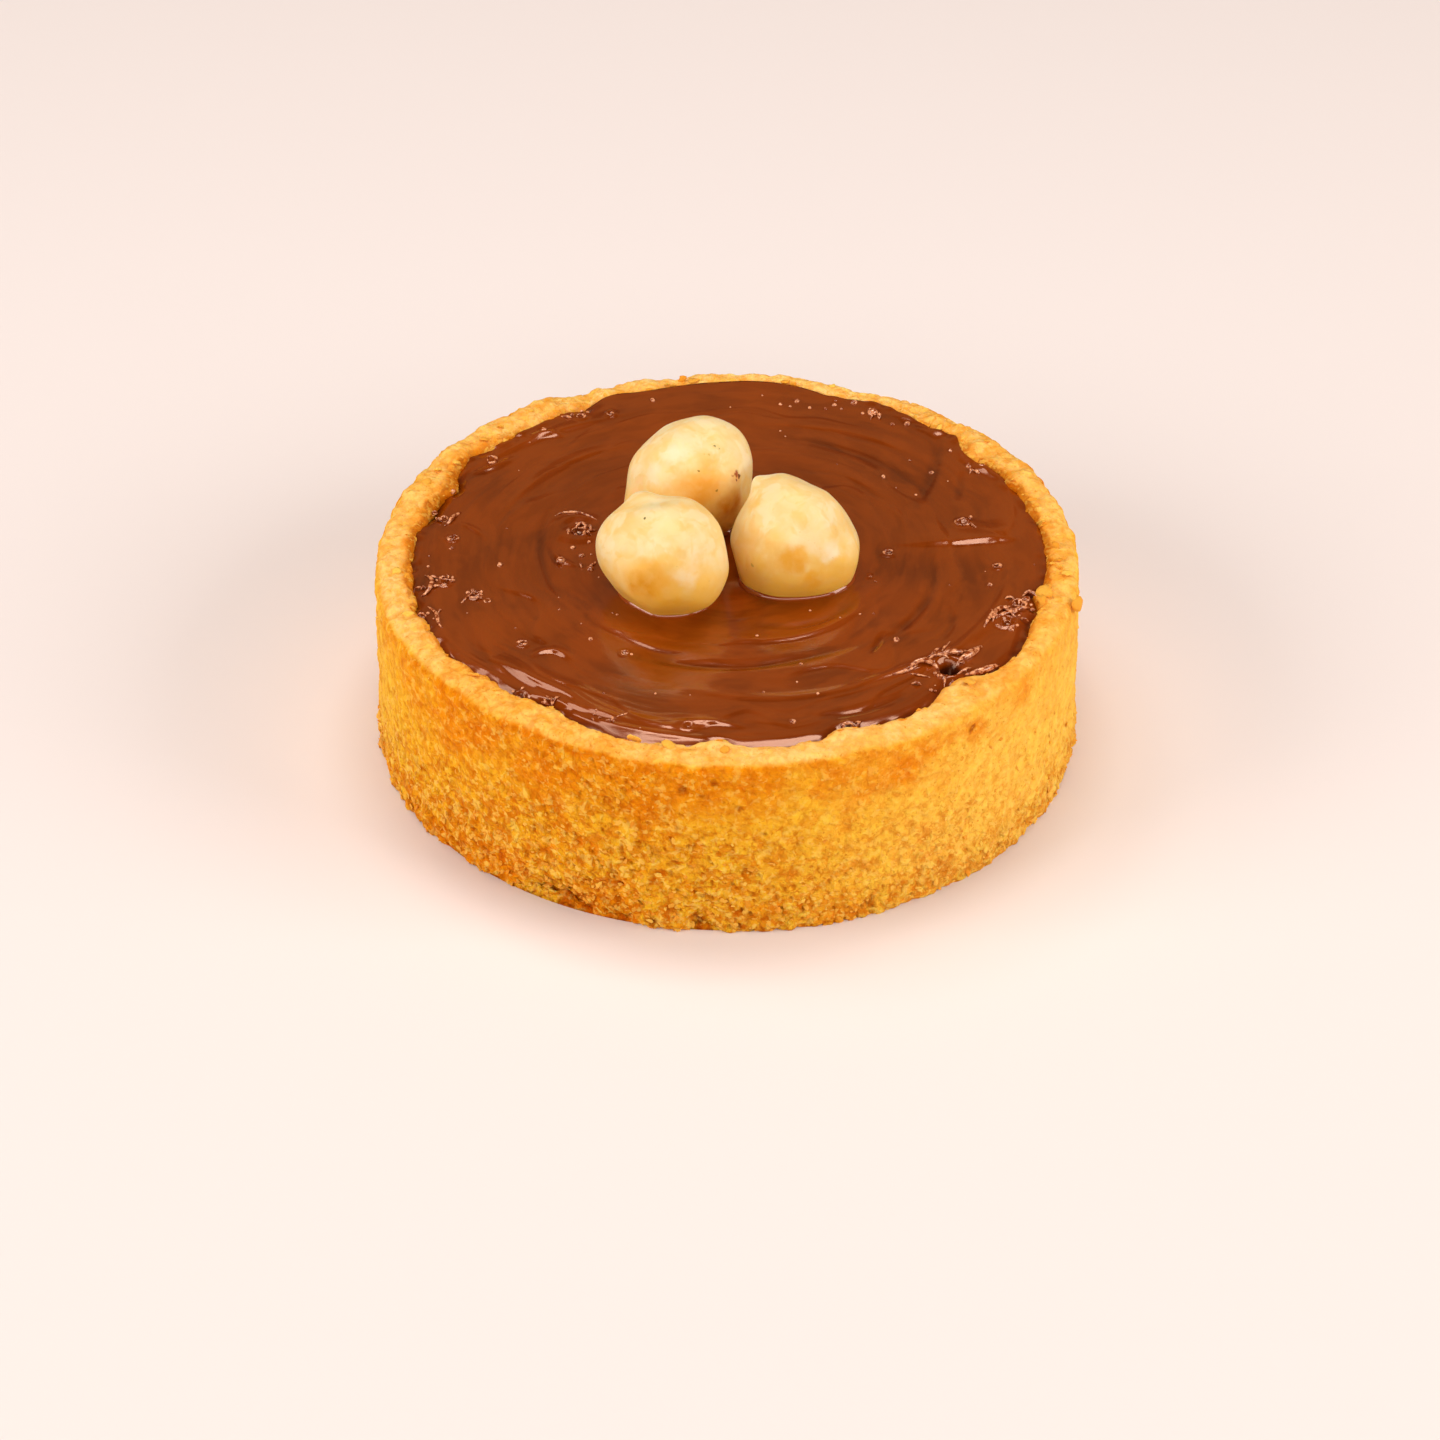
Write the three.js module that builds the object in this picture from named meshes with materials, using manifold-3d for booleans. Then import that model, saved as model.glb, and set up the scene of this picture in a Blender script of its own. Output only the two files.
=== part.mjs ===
// A chocolate tart for one: a shortcrust case baked in a ring, filled to the rim with chocolate
// hazelnut spread, with three blanched hazelnuts pressed into its middle.
// Millimetres, +Z up, the origin in the middle of the flat underside.
import * as THREE from 'three';
import { ImprovedNoise } from 'three/addons/math/ImprovedNoise.js';
import { mergeVertices } from 'three/addons/utils/BufferGeometryUtils.js';
import Module from 'manifold-3d';

// Driving dimensions
const tartRadius = 40;
const rimHeight = 23;
const wallThickness = 3.95;
const floorThickness = 4;
const fillDrop = 0.6; // from the rim's mean top down to the filling
const fitGap = 0.3; // clearance between pieces that touch

// Worked out from them
const innerRadius = tartRadius - wallThickness;
const fillLevel = rimHeight - fillDrop;

// The case's profile
const outerRound = 1.7; // rounding of the rim towards the outside
const innerRound = 0.9; // and towards the filling
const baseRound = 0.8; // at the foot of the wall
const floorFillet = 2.4; // between wall and floor, inside

// How finely the solids are divided
const caseSegments = 132;
const wallRows = 10;
const fillSegments = 108;
const fillRings = 20;
const nutDetail = 5;

// Where the rim stands out, by angle in degrees anticlockwise from +X, all in millimetres:
// humps and dips of its top, and places where it is thicker or thinner than elsewhere.
const rimHumps = [
  { at: 24, width: 9, by: 0.4 },
  { at: 68, width: 6, by: -0.5 },
  { at: 113, width: 4, by: -0.45 },
  { at: 131, width: 12, by: 0.55 },
  { at: 160, width: 7, by: 0.25 },
  { at: 318, width: 8, by: 0.2 },
];
const rimThickenings = [
  { at: 38, width: 8, by: 0.7 },
  { at: 60, width: 5, by: 0.3 },
  { at: 85, width: 12, by: -0.5 },
  { at: 148, width: 5, by: -0.5 },
  { at: 172, width: 14, by: 0.4 },
  { at: 246, width: 8, by: -0.5 },
  { at: 315, width: 6, by: 1.6 },
  { at: 328, width: 7, by: -0.8 },
];
const rimWaver = 0.22; // uneven height of the rim between those places
const crumbCoarse = { size: 3.1, depth: 0.3 }; // relief of the baked crumb
const crumbFine = { size: 1.4, depth: 0.24 };

// Ridges that the palette knife left in the filling, as arcs round the middle: the radius where
// each starts, the angles that it runs between, its drift outwards on the way, height and width.
const knifeRidges = [
  { radius: 22.6, from: 166, to: 228, drift: -5.0, height: 0.36, width: 1.3 },
  { radius: 28.6, from: 190, to: 232, drift: 5.0, height: 0.38, width: 1.3 },
  { radius: 31.6, from: 128, to: 190, drift: -1.4, height: 0.28, width: 1.4 },
  { radius: 24.8, from: 112, to: 160, drift: -1.0, height: 0.3, width: 1.6 },
  { radius: 26.0, from: 48, to: 98, drift: -0.5, height: 0.3, width: 1.5 },
  { radius: 30.6, from: 62, to: 118, drift: 0.6, height: 0.24, width: 1.3 },
  { radius: 20.4, from: 24, to: 80, drift: 2.0, height: 0.26, width: 1.6 },
  { radius: 25.6, from: 304, to: 358, drift: 5.4, height: 0.36, width: 1.2 },
  { radius: 20.6, from: 284, to: 338, drift: 9.0, height: 0.34, width: 1.4 },
  { radius: 25.4, from: 268, to: 318, drift: 5.4, height: 0.34, width: 1.5 },
  { radius: 16.4, from: 238, to: 306, drift: 3.0, height: 0.26, width: 1.6 },
  { radius: 21.8, from: 226, to: 284, drift: 4.0, height: 0.3, width: 1.5 },
  { radius: 31.6, from: 208, to: 262, drift: 0.6, height: 0.4, width: 1.0 },
  { radius: 31.8, from: 8, to: 34, drift: 3.6, height: 0.4, width: 1.0 },
];
// The crest where the knife lifted off, a straight ridge with a step down on its near side.
const liftCrest = { from: [13.6, 2.7], to: [31.8, 3.9], height: 0.7, width: 1.5 };
// Holes of burst air bubbles in the filling
const bubbles = [
  { at: [24.3, -22.0], radius: 1.5, depth: 0.9 },
  { at: [-17.1, 5.5], radius: 1.1, depth: 0.6 },
  { at: [30.7, -12.9], radius: 1.2, depth: 0.6 },
];
const edgeRoll = 0.35; // the filling's edge rolls down this far to the case,
const edgeRollWidth = 2.2; // over this width

// Each nut: its middle, its radius, the bulges that make it uneven, and a number that sets its lumps.
// A bulge is the angle in degrees at which it lies round the nut, as seen from in front and above,
// its width in degrees, and its height as a share of the radius. The narrowest one is the tip.
const nuts = [
  {
    name: 'hazelnut_left',
    at: [-7.0, -6.5, 27.2],
    radius: 6.91,
    lumps: 3,
    bulges: [
      { at: 312, width: 42, by: 0.12 },
      { at: 162, width: 32, by: 0.16 },
      { at: 112, width: 15, by: 0.135 },
    ],
  },
  {
    name: 'hazelnut_right',
    at: [7.56, -2.25, 26.6],
    radius: 7.0,
    lumps: 11,
    bulges: [
      { at: 112, width: 26, by: 0.11 },
      { at: 234, width: 30, by: 0.165 },
      { at: 327, width: 34, by: 0.14 },
      { at: 42, width: 34, by: -0.095 },
      { at: 180, width: 14, by: 0.045 },
      { at: 124, width: 8, by: 0.11 },
    ],
  },
  {
    name: 'hazelnut_back',
    at: [-4.2, 8.8, 27.0],
    radius: 7.11,
    lumps: 23,
    bulges: [
      { at: 48, width: 34, by: 0.146 },
      { at: 222, width: 34, by: 0.26 },
      { at: 132, width: 38, by: -0.02 },
      { at: 78, width: 12, by: 0.034 },
    ],
  },
];
const bulgeLean = 35.3; // degrees that the ring of bulges leans back from upright
const nutLump = { size: 0.6, depth: 0.018 };

const wasm = await Module();
wasm.setup();
const perlin = new ImprovedNoise();
const { clamp, degToRad, radToDeg, smoothstep } = THREE.MathUtils;

// Noise in space, about -1 to 1, with features of the size given.
function grain(point, size, shift = 0) {
  return perlin.noise(point.x / size + shift, point.y / size + shift, point.z / size + shift);
}

// The angle from b to a in degrees, between -180 and 180.
function turnFrom(a, b) {
  return THREE.MathUtils.euclideanModulo(a - b + 180, 360) - 180;
}

function sumOfHumps(humps, angle) {
  return humps.reduce((sum, { at, width, by }) => {
    return sum + by * Math.exp(-((turnFrom(angle, at) / width) ** 2));
  }, 0);
}

function angleOf(point) {
  return radToDeg(Math.atan2(point.y, point.x));
}

// How far the rim's top is above its mean height at an angle.
function rimLift(angle) {
  const onCircle = new THREE.Vector3(tartRadius, 0, 0).applyAxisAngle(
    new THREE.Vector3(0, 0, 1),
    degToRad(angle),
  );
  return sumOfHumps(rimHumps, angle) + rimWaver * grain(onCircle, 4.2);
}

// How far the inside of the wall is moved inwards at an angle and a height.
function wallInset(angle, height) {
  const share = clamp((height - floorThickness) / (rimHeight - floorThickness), 0, 1);
  return share * sumOfHumps(rimThickenings, angle);
}

// Points of an arc in a profile, its angles in degrees, as x outwards and y up.
function arc(x, y, radius, from, to, steps) {
  return Array.from({ length: steps + 1 }, (_, i) => {
    const a = degToRad(from + ((to - from) * i) / steps);
    return new THREE.Vector2(x + radius * Math.cos(a), y + radius * Math.sin(a));
  });
}

// A profile turned round the Z axis, as an indexed mesh that holds only positions.
function turned(profile, segments) {
  const lathe = new THREE.LatheGeometry(profile, segments).rotateX(Math.PI / 2);
  lathe.deleteAttribute('normal');
  lathe.deleteAttribute('uv');
  return mergeVertices(lathe, 1e-4);
}

// Moves every vertex as the function given says.
function reshaped(geometry, move) {
  const position = geometry.getAttribute('position');
  const point = new THREE.Vector3();
  for (let i = 0; i < position.count; i += 1) {
    move(point.fromBufferAttribute(position, i));
    position.setXYZ(i, point.x, point.y, point.z);
  }
  return geometry;
}

function setRadius(point, radius) {
  const old = Math.hypot(point.x, point.y);
  if (old > 0) {
    point.x *= radius / old;
    point.y *= radius / old;
  }
}

// The shortcrust case: a flat-bottomed cup with a rounded, uneven rim and a crumbly outside.
function caseGeometry() {
  const wallFoot = baseRound;
  const wallTop = rimHeight - outerRound;
  const wall = Array.from({ length: wallRows - 1 }, (_, i) => {
    return new THREE.Vector2(tartRadius, wallFoot + ((wallTop - wallFoot) * (i + 1)) / wallRows);
  });
  const profile = [
    new THREE.Vector2(0, 0),
    ...arc(tartRadius - baseRound, baseRound, baseRound, -90, 0, 2),
    ...wall,
    ...arc(tartRadius - outerRound, rimHeight - outerRound, outerRound, 0, 90, 4),
    ...arc(innerRadius + innerRound, rimHeight - innerRound, innerRound, 90, 180, 3),
    new THREE.Vector2(innerRadius, (rimHeight + floorThickness) / 2),
    ...arc(innerRadius - floorFillet, floorThickness + floorFillet, floorFillet, 0, -90, 2),
    new THREE.Vector2(0, floorThickness),
  ];
  return reshaped(turned(profile, caseSegments), (point) => {
    const angle = angleOf(point);
    const radius = Math.hypot(point.x, point.y);
    const height = point.z;
    const inward = clamp((tartRadius - radius) / wallThickness, 0, 1);
    const towardsRim = smoothstep(height, rimHeight / 2, rimHeight);
    const crumb =
      crumbCoarse.depth * grain(point, crumbCoarse.size, 0.37) +
      crumbFine.depth * grain(point, crumbFine.size, 5.71);
    const onOutside = radius > innerRadius ? 1 - inward : 0;
    setRadius(point, radius - inward * wallInset(angle, height) + onOutside * crumb);
    point.z += towardsRim * (rimLift(angle) + crumb * (radius > innerRadius ? 1 : 0));
  });
}

// The height that the knife's ridges add to the filling at a place.
function knifeRelief(x, y) {
  const radius = Math.hypot(x, y);
  const angle = radToDeg(Math.atan2(y, x));
  return knifeRidges.reduce((sum, ridge) => {
    const span = ridge.to - ridge.from;
    const along = THREE.MathUtils.euclideanModulo(angle - ridge.from, 360) / span;
    if (along > 1) return sum;
    const off = radius - (ridge.radius + ridge.drift * along);
    const width = off > 0 ? 0.6 * ridge.width : 1.5 * ridge.width; // steeper on the outside
    const fade = Math.sin(Math.PI * along) ** 0.7;
    return sum + ridge.height * fade * Math.exp(-((off / width) ** 2));
  }, 0);
}

function crestRelief(x, y) {
  const start = new THREE.Vector2(...liftCrest.from);
  const way = new THREE.Vector2(...liftCrest.to).sub(start);
  const offset = new THREE.Vector2(x, y).sub(start);
  const along = offset.dot(way) / way.lengthSq();
  if (along < 0 || along > 1) return 0;
  const off = way.cross(offset) / way.length(); // positive on the far side
  const width = off > 0 ? 2 * liftCrest.width : 0.5 * liftCrest.width;
  const fade = Math.sin(Math.PI * along ** 1.6);
  return liftCrest.height * fade * Math.exp(-((off / width) ** 2));
}

function bubbleRelief(x, y) {
  return bubbles.reduce((sum, { at, radius, depth }) => {
    return sum - depth * Math.exp(-((Math.hypot(x - at[0], y - at[1]) / radius) ** 2));
  }, 0);
}

// The filling: a thick disc inside the case, its top worked with a palette knife.
function fillingGeometry() {
  const bottom = floorThickness + fitGap;
  const edge = innerRadius - fitGap;
  const rings = Array.from({ length: fillRings - 1 }, (_, i) => {
    return new THREE.Vector2(edge * (1 - (i + 1) / fillRings) ** 0.85, fillLevel);
  });
  const profile = [
    new THREE.Vector2(0, bottom),
    ...arc(edge - floorFillet, bottom + floorFillet, floorFillet, -90, 0, 2),
    new THREE.Vector2(edge, fillLevel),
    ...rings,
    new THREE.Vector2(0, fillLevel),
  ];
  return reshaped(turned(profile, fillSegments), (point) => {
    const angle = angleOf(point);
    const radius = Math.hypot(point.x, point.y);
    const fromEdge = edge - radius;
    const share = radius / edge;
    setRadius(point, radius - share ** 3 * wallInset(angle, point.z));
    if (point.z < fillLevel) return;
    point.z -= edgeRoll * (1 - smoothstep(fromEdge, 0, edgeRollWidth));
    point.z += knifeRelief(point.x, point.y) + crestRelief(point.x, point.y);
    point.z += bubbleRelief(point.x, point.y);
  });
}

// The way in which a bulge lies, from the nut's middle.
function bulgeWay(at) {
  const turn = degToRad(at);
  const lean = degToRad(bulgeLean);
  return new THREE.Vector3(
    Math.cos(turn),
    Math.sin(turn) * Math.sin(lean),
    Math.sin(turn) * Math.cos(lean),
  );
}

// A hazelnut about its own middle, grown by a margin all round.
function nutGeometry({ radius, bulges, lumps }, margin = 0) {
  const ways = bulges.map((bulge) => ({ ...bulge, way: bulgeWay(bulge.at) }));
  const ball = new THREE.IcosahedronGeometry(1, nutDetail);
  ball.deleteAttribute('normal');
  ball.deleteAttribute('uv');
  return reshaped(mergeVertices(ball, 1e-4), (point) => {
    const bulging = ways.reduce((sum, { way, width, by }) => {
      return sum + by * Math.exp(-((point.angleTo(way) / degToRad(width)) ** 2));
    }, 0);
    const swell = 1 + bulging + nutLump.depth * grain(point, nutLump.size, lumps);
    point.multiplyScalar(radius * swell + margin);
  });
}

function toSolid(geometry) {
  return new wasm.Manifold(
    new wasm.Mesh({
      numProp: 3,
      vertProperties: geometry.getAttribute('position').array,
      triVerts: new Uint32Array(geometry.index.array),
    }),
  );
}

function toGeometry(solid) {
  const { vertProperties, triVerts } = solid.getMesh();
  const geometry = new THREE.BufferGeometry();
  geometry.setAttribute('position', new THREE.BufferAttribute(vertProperties, 3));
  geometry.setIndex(new THREE.BufferAttribute(triVerts, 1));
  geometry.computeVertexNormals();
  return geometry;
}

// Presses a hollow for each nut into the filling.
function withNutHollows(geometry) {
  const pressed = nuts.reduce((solid, nut) => {
    return solid.subtract(toSolid(nutGeometry(nut, fitGap).translate(...nut.at)));
  }, toSolid(geometry));
  return toGeometry(pressed);
}

function piece(name, geometry, material) {
  const mesh = new THREE.Mesh(geometry, material);
  mesh.name = name;
  return mesh;
}

const pastry = new THREE.MeshStandardMaterial({ color: 0xeeaa4c, roughness: 0.85, metalness: 0 });
const chocolate = new THREE.MeshStandardMaterial({ color: 0x7d3a17, roughness: 0.35, metalness: 0 });
const kernel = new THREE.MeshStandardMaterial({ color: 0xf6d48e, roughness: 0.5, metalness: 0 });

const tart = new THREE.Group();
tart.add(piece('pastry_case', caseGeometry(), pastry));
tart.add(piece('chocolate_filling', withNutHollows(fillingGeometry()), chocolate));
for (const nut of nuts) {
  const mesh = piece(nut.name, nutGeometry(nut), kernel);
  mesh.position.set(...nut.at);
  tart.add(mesh);
}

export default tart;
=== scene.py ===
# Chocolate tart: a crumbly baked case, a filling smoothed with a knife, three blanched hazelnuts.
# Each piece is modelled in millimetres and scaled to metres when it is finished.
import math
import random

import bmesh
import bpy
from mathutils import Euler, Matrix, Vector, kdtree, noise
from mathutils.geometry import interpolate_bezier


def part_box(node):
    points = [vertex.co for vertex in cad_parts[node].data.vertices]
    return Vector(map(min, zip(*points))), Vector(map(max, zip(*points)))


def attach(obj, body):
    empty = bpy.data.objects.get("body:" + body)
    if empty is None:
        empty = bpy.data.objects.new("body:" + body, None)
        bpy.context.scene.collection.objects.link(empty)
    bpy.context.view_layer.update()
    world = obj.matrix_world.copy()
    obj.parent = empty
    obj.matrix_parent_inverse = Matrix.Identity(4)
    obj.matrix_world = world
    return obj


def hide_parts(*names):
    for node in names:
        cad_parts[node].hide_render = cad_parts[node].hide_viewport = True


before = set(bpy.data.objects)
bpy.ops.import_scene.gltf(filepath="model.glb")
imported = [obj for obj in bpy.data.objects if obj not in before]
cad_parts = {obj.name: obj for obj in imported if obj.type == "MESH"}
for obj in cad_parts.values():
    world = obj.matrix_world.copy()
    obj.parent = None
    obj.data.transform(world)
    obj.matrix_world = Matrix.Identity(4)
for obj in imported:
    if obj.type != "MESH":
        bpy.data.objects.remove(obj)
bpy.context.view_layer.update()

mm = 0.001
upward = Vector((0, 0, 1))


# Small sums that every piece uses.

def ease(value, low, high):
    share = min(1.0, max(0.0, (value - low) / (high - low)))
    return share * share * (3 - 2 * share)


def bell(offset, width):
    return math.exp(-((offset / width) ** 2))


def plateau(offset, width):  # as a bell, but flat on top and steep at the sides
    return math.exp(-((offset / width) ** 4))


def turnFrom(a, b):  # degrees from b to a, -180 to 180
    return (a - b + 180) % 360 - 180


def angleAt(x, y):
    return math.degrees(math.atan2(y, x)) % 360


def sumOfBells(bells, angle):  # each is (at degrees, width in degrees, amount)
    return sum(by * bell(turnFrom(angle, at), width) for at, width, by in bells)


def grain(point, size, shift=0.0):  # noise in space, about -1 to 1
    return noise.noise(point / size + Vector((shift, shift * 1.7, shift * 0.6)))


def domeAt(point, size, shift=0.0):
    # The rounded lump at a place: how high up its dome, the way in from its edge, and three numbers
    # of its own from 0 to 1.
    near, middles = noise.voronoi(point / size + Vector((shift, shift, shift)))
    return 1 - min(1.0, near[0] / 0.85) ** 2, near[1] - near[0], noise.cell_vector(middles[0] * 9.7)


def inPlan(point):  # the same place at height 0
    return Vector((point.x, point.y, 0))


def boxOf(node):  # a CAD node's box, in millimetres
    low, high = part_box(node)
    return low / mm, high / mm


def wireProfile(corners, step, hiddenStep, isHidden):
    # A profile in the XZ plane: corners are (x, z, rounding, segments of the rounding).
    bm = bmesh.new()
    verts = [bm.verts.new((x, 0, z)) for x, z, *_ in corners]
    for a, b in zip(verts, verts[1:]):
        bm.edges.new((a, b))
    for vert, (_, _, rounding, segments) in zip(verts, corners):
        if rounding:
            bmesh.ops.bevel(
                bm, geom=[vert], offset=rounding, offset_type="OFFSET", segments=segments,
                profile=0.5, affect="VERTICES", material=-1,
            )
    for edge in bm.edges[:]:
        middle = (edge.verts[0].co + edge.verts[1].co) / 2
        cuts = int(edge.calc_length() / (hiddenStep if isHidden(middle) else step))
        if cuts:
            bmesh.ops.subdivide_edges(bm, edges=[edge], cuts=cuts)
    return bm


def spinInSectors(bm, sectors, stepsEach):
    # Spins one sector finely, then copies it round: much quicker than one long spin.
    turn = 2 * math.pi / sectors
    bmesh.ops.spin(
        bm, geom=bm.verts[:] + bm.edges[:], cent=(0, 0, 0), axis=upward, angle=turn, steps=stepsEach,
    )
    bmesh.ops.spin(
        bm, geom=bm.verts[:] + bm.edges[:] + bm.faces[:], cent=(0, 0, 0), axis=upward,
        angle=2 * math.pi - turn, steps=sectors - 1, use_duplicate=True,
    )
    bmesh.ops.remove_doubles(bm, verts=bm.verts, dist=0.002)
    bmesh.ops.recalc_face_normals(bm, faces=bm.faces)


def extrudeLoop(bm, edges):  # gives the new verts and the new edges
    grown = bmesh.ops.extrude_edge_only(bm, edges=edges)["geom"]
    verts = [item for item in grown if isinstance(item, bmesh.types.BMVert)]
    return verts, [item for item in grown if isinstance(item, bmesh.types.BMEdge)]


def finishPiece(bm, name, material, slotName, *nodes, smooth=True):
    bmesh.ops.scale(bm, vec=(mm, mm, mm), verts=bm.verts)
    mesh = bpy.data.meshes.new(name)
    bm.to_mesh(mesh)
    bm.free()
    mesh.materials.append(material)
    if smooth:
        mesh.shade_smooth()
    piece = bpy.data.objects.new(name, mesh)
    bpy.context.scene.collection.objects.link(piece)
    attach(piece, "root")
    if nodes:
        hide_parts(*nodes)
    print(name, "has", sum(len(face.vertices) - 2 for face in mesh.polygons), "triangles")


def newMaterial(name):
    material = bpy.data.materials.new(name)
    material.use_nodes = True
    tree = material.node_tree
    return material, tree, tree.nodes["Principled BSDF"]


def setInputs(tree, node, inputs):  # a socket is linked, anything else is set as a plain value
    for name, value in inputs.items():
        if isinstance(value, bpy.types.NodeSocket):
            tree.links.new(value, node.inputs[name])
        else:
            node.inputs[name].default_value = value


def addNode(tree, kind, inputs=None, **settings):
    node = tree.nodes.new("ShaderNode" + kind)
    for name, value in settings.items():
        setattr(node, name, value)
    setInputs(tree, node, inputs or {})
    return node


def millimetres(tree, shift=(0, 0, 0)):
    place = addNode(tree, "TexCoord").outputs["Object"]
    inputs = {"Vector": place, "Scale": (1 / mm, 1 / mm, 1 / mm), "Location": shift}
    return addNode(tree, "Mapping", inputs).outputs["Vector"]


def noiseOf(tree, place, size, detail=2.0, roughness=0.5, distortion=0.0, output="Fac"):
    inputs = {
        "Vector": place, "Scale": 1 / size, "Detail": detail,
        "Roughness": roughness, "Distortion": distortion,
    }
    return addNode(tree, "TexNoise", inputs).outputs[output]


def stepOf(tree, value, low, high, toLow=0.0, toHigh=1.0):
    inputs = {"Value": value, "From Min": low, "From Max": high, "To Min": toLow, "To Max": toHigh}
    return addNode(tree, "MapRange", inputs, interpolation_type="SMOOTHSTEP").outputs["Result"]


def mathOf(tree, operation, *values):
    return addNode(tree, "Math", dict(enumerate(values)), operation=operation).outputs["Value"]


def times(tree, product, *factors):
    for factor in factors:
        product = mathOf(tree, "MULTIPLY", product, factor)
    return product


def vectorMath(tree, operation, *values, output="Vector"):
    return addNode(tree, "VectorMath", dict(enumerate(values)), operation=operation).outputs[output]


def stirredBy(tree, place, stir, reach):
    # Moves each place by a noise's colour, up to the reach, so that what is drawn there is irregular.
    return vectorMath(tree, "MULTIPLY_ADD", stir, (reach, reach, reach), place)


def frayedBy(tree, place, stir, reach):  # the same, but as far back as forth
    back = -reach / 2
    return vectorMath(tree, "ADD", stirredBy(tree, place, stir, reach), (back, back, back))


def blend(tree, share, first, second):  # 0, 6 and 7 are the Mix node's share and its two colours
    return addNode(tree, "Mix", {0: share, 6: first, 7: second}, data_type="RGBA").outputs[2]


def attributeOf(tree, name):
    return addNode(tree, "Attribute", attribute_name=name).outputs["Fac"]


def colour(red, green, blue):  # 0 to 255 as a screen shows them, to the shader's linear values
    def linear(value):
        value /= 255
        return value / 12.92 if value <= 0.04045 else ((value + 0.055) / 1.055) ** 2.4
    return (linear(red), linear(green), linear(blue), 1.0)


def between(tree, share, pair):  # from the first of two colours to the second
    return blend(tree, share, colour(*pair[0]), colour(*pair[1]))


def layered(tree, body, *layers):  # each layer is its share and its colour, or the socket that gives it
    for share, tint in layers:
        isSocket = isinstance(tint, bpy.types.NodeSocket)
        body = blend(tree, share, body, tint if isSocket else colour(*tint))
    return body


def bumpOf(tree, height, strength, depth):
    inputs = {"Height": height, "Strength": strength, "Distance": depth * mm}
    return addNode(tree, "Bump", inputs).outputs["Normal"]


camera = {
    "distance": 620,
    "elevation": 35.34,  # degrees above the horizon
    "lookAt": (0, 0, 11),
    "lens": 135.0,
    "aimDown": 0.842,  # degrees that the camera is turned below the point looked at
    "aimLeft": 0.0955,  # and to its left
}


def makeCamera():
    up = math.radians(camera["elevation"])
    target = Vector(camera["lookAt"])
    data = bpy.data.cameras.new("camera")
    data.lens = camera["lens"]
    data.sensor_width = 36.0
    data.clip_start = 0.05
    eye = bpy.data.objects.new("camera", data)
    eye.location = (target + camera["distance"] * Vector((0, -math.cos(up), math.sin(up)))) * mm
    down = math.radians(camera["elevation"] + camera["aimDown"])
    eye.rotation_euler = (math.pi / 2 - down, 0, math.radians(camera["aimLeft"]))
    bpy.context.scene.collection.objects.link(eye)
    bpy.context.scene.camera = eye


studio = {
    "floorSize": 3.0,
    "floorColour": (238, 230, 228),
    "aimHeight": 0.012,  # metres above the floor's middle, where the soft boxes face
    "sky": (1.0, 0.78, 0.6),
    "skyStrength": 0.08,
    # name, place in metres, size in metres, power in watts, colour
    "softBoxes": [
        ("overhead", (0.02, 0.12, 0.62), (0.28, 0.22), 1.5, (1.0, 0.91, 0.87)),
        ("left", (-0.62, -0.22, 0.34), (0.45, 0.45), 3.3, (1.0, 0.95, 0.9)),
        ("right", (0.62, -0.2, 0.34), (0.45, 0.45), 3.5, (1.0, 0.95, 0.9)),
        ("front", (0.0, -0.75, 0.4), (1.6, 0.18), 2.8, (1.0, 0.95, 0.9)),
        ("behind", (0.05, 0.95, 0.67), (1.3, 0.4), 0.4, (1.0, 0.64, 0.28)),
        ("high left", (-0.24, 0.25, 0.62), (0.26, 0.2), 0.7, (1.0, 0.91, 0.86)),
    ],
}


def makeStudio():
    bm = bmesh.new()
    bmesh.ops.create_grid(bm, x_segments=2, y_segments=2, size=studio["floorSize"] / 2)
    mesh = bpy.data.meshes.new("floor")
    bm.to_mesh(mesh)
    bm.free()
    floor = bpy.data.objects.new("floor", mesh)
    bpy.context.scene.collection.objects.link(floor)
    material, tree, shader = newMaterial("pale_floor")
    matt = {"Base Color": colour(*studio["floorColour"]), "Roughness": 0.85, "Specular IOR Level": 0.2}
    setInputs(tree, shader, matt)
    mesh.materials.append(material)

    world = bpy.data.worlds.new("studio")
    bpy.context.scene.world = world
    world.use_nodes = True
    glow = {"Color": (*studio["sky"], 1), "Strength": studio["skyStrength"]}
    setInputs(world.node_tree, world.node_tree.nodes["Background"], glow)

    middle = Vector((0, 0, studio["aimHeight"]))
    for name, place, size, power, tint in studio["softBoxes"]:
        data = bpy.data.lights.new(name, "AREA")
        data.shape = "RECTANGLE"
        data.size, data.size_y = size
        data.energy = power
        data.color = tint
        lamp = bpy.data.objects.new(name, data)
        lamp.location = place
        lamp.rotation_euler = (middle - Vector(place)).to_track_quat("-Z", "Y").to_euler()
        bpy.context.scene.collection.objects.link(lamp)
    bpy.context.scene.view_settings.view_transform = "Standard"


# The baked case.
caseLow, caseHigh = boxOf("pastry_case")

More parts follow.
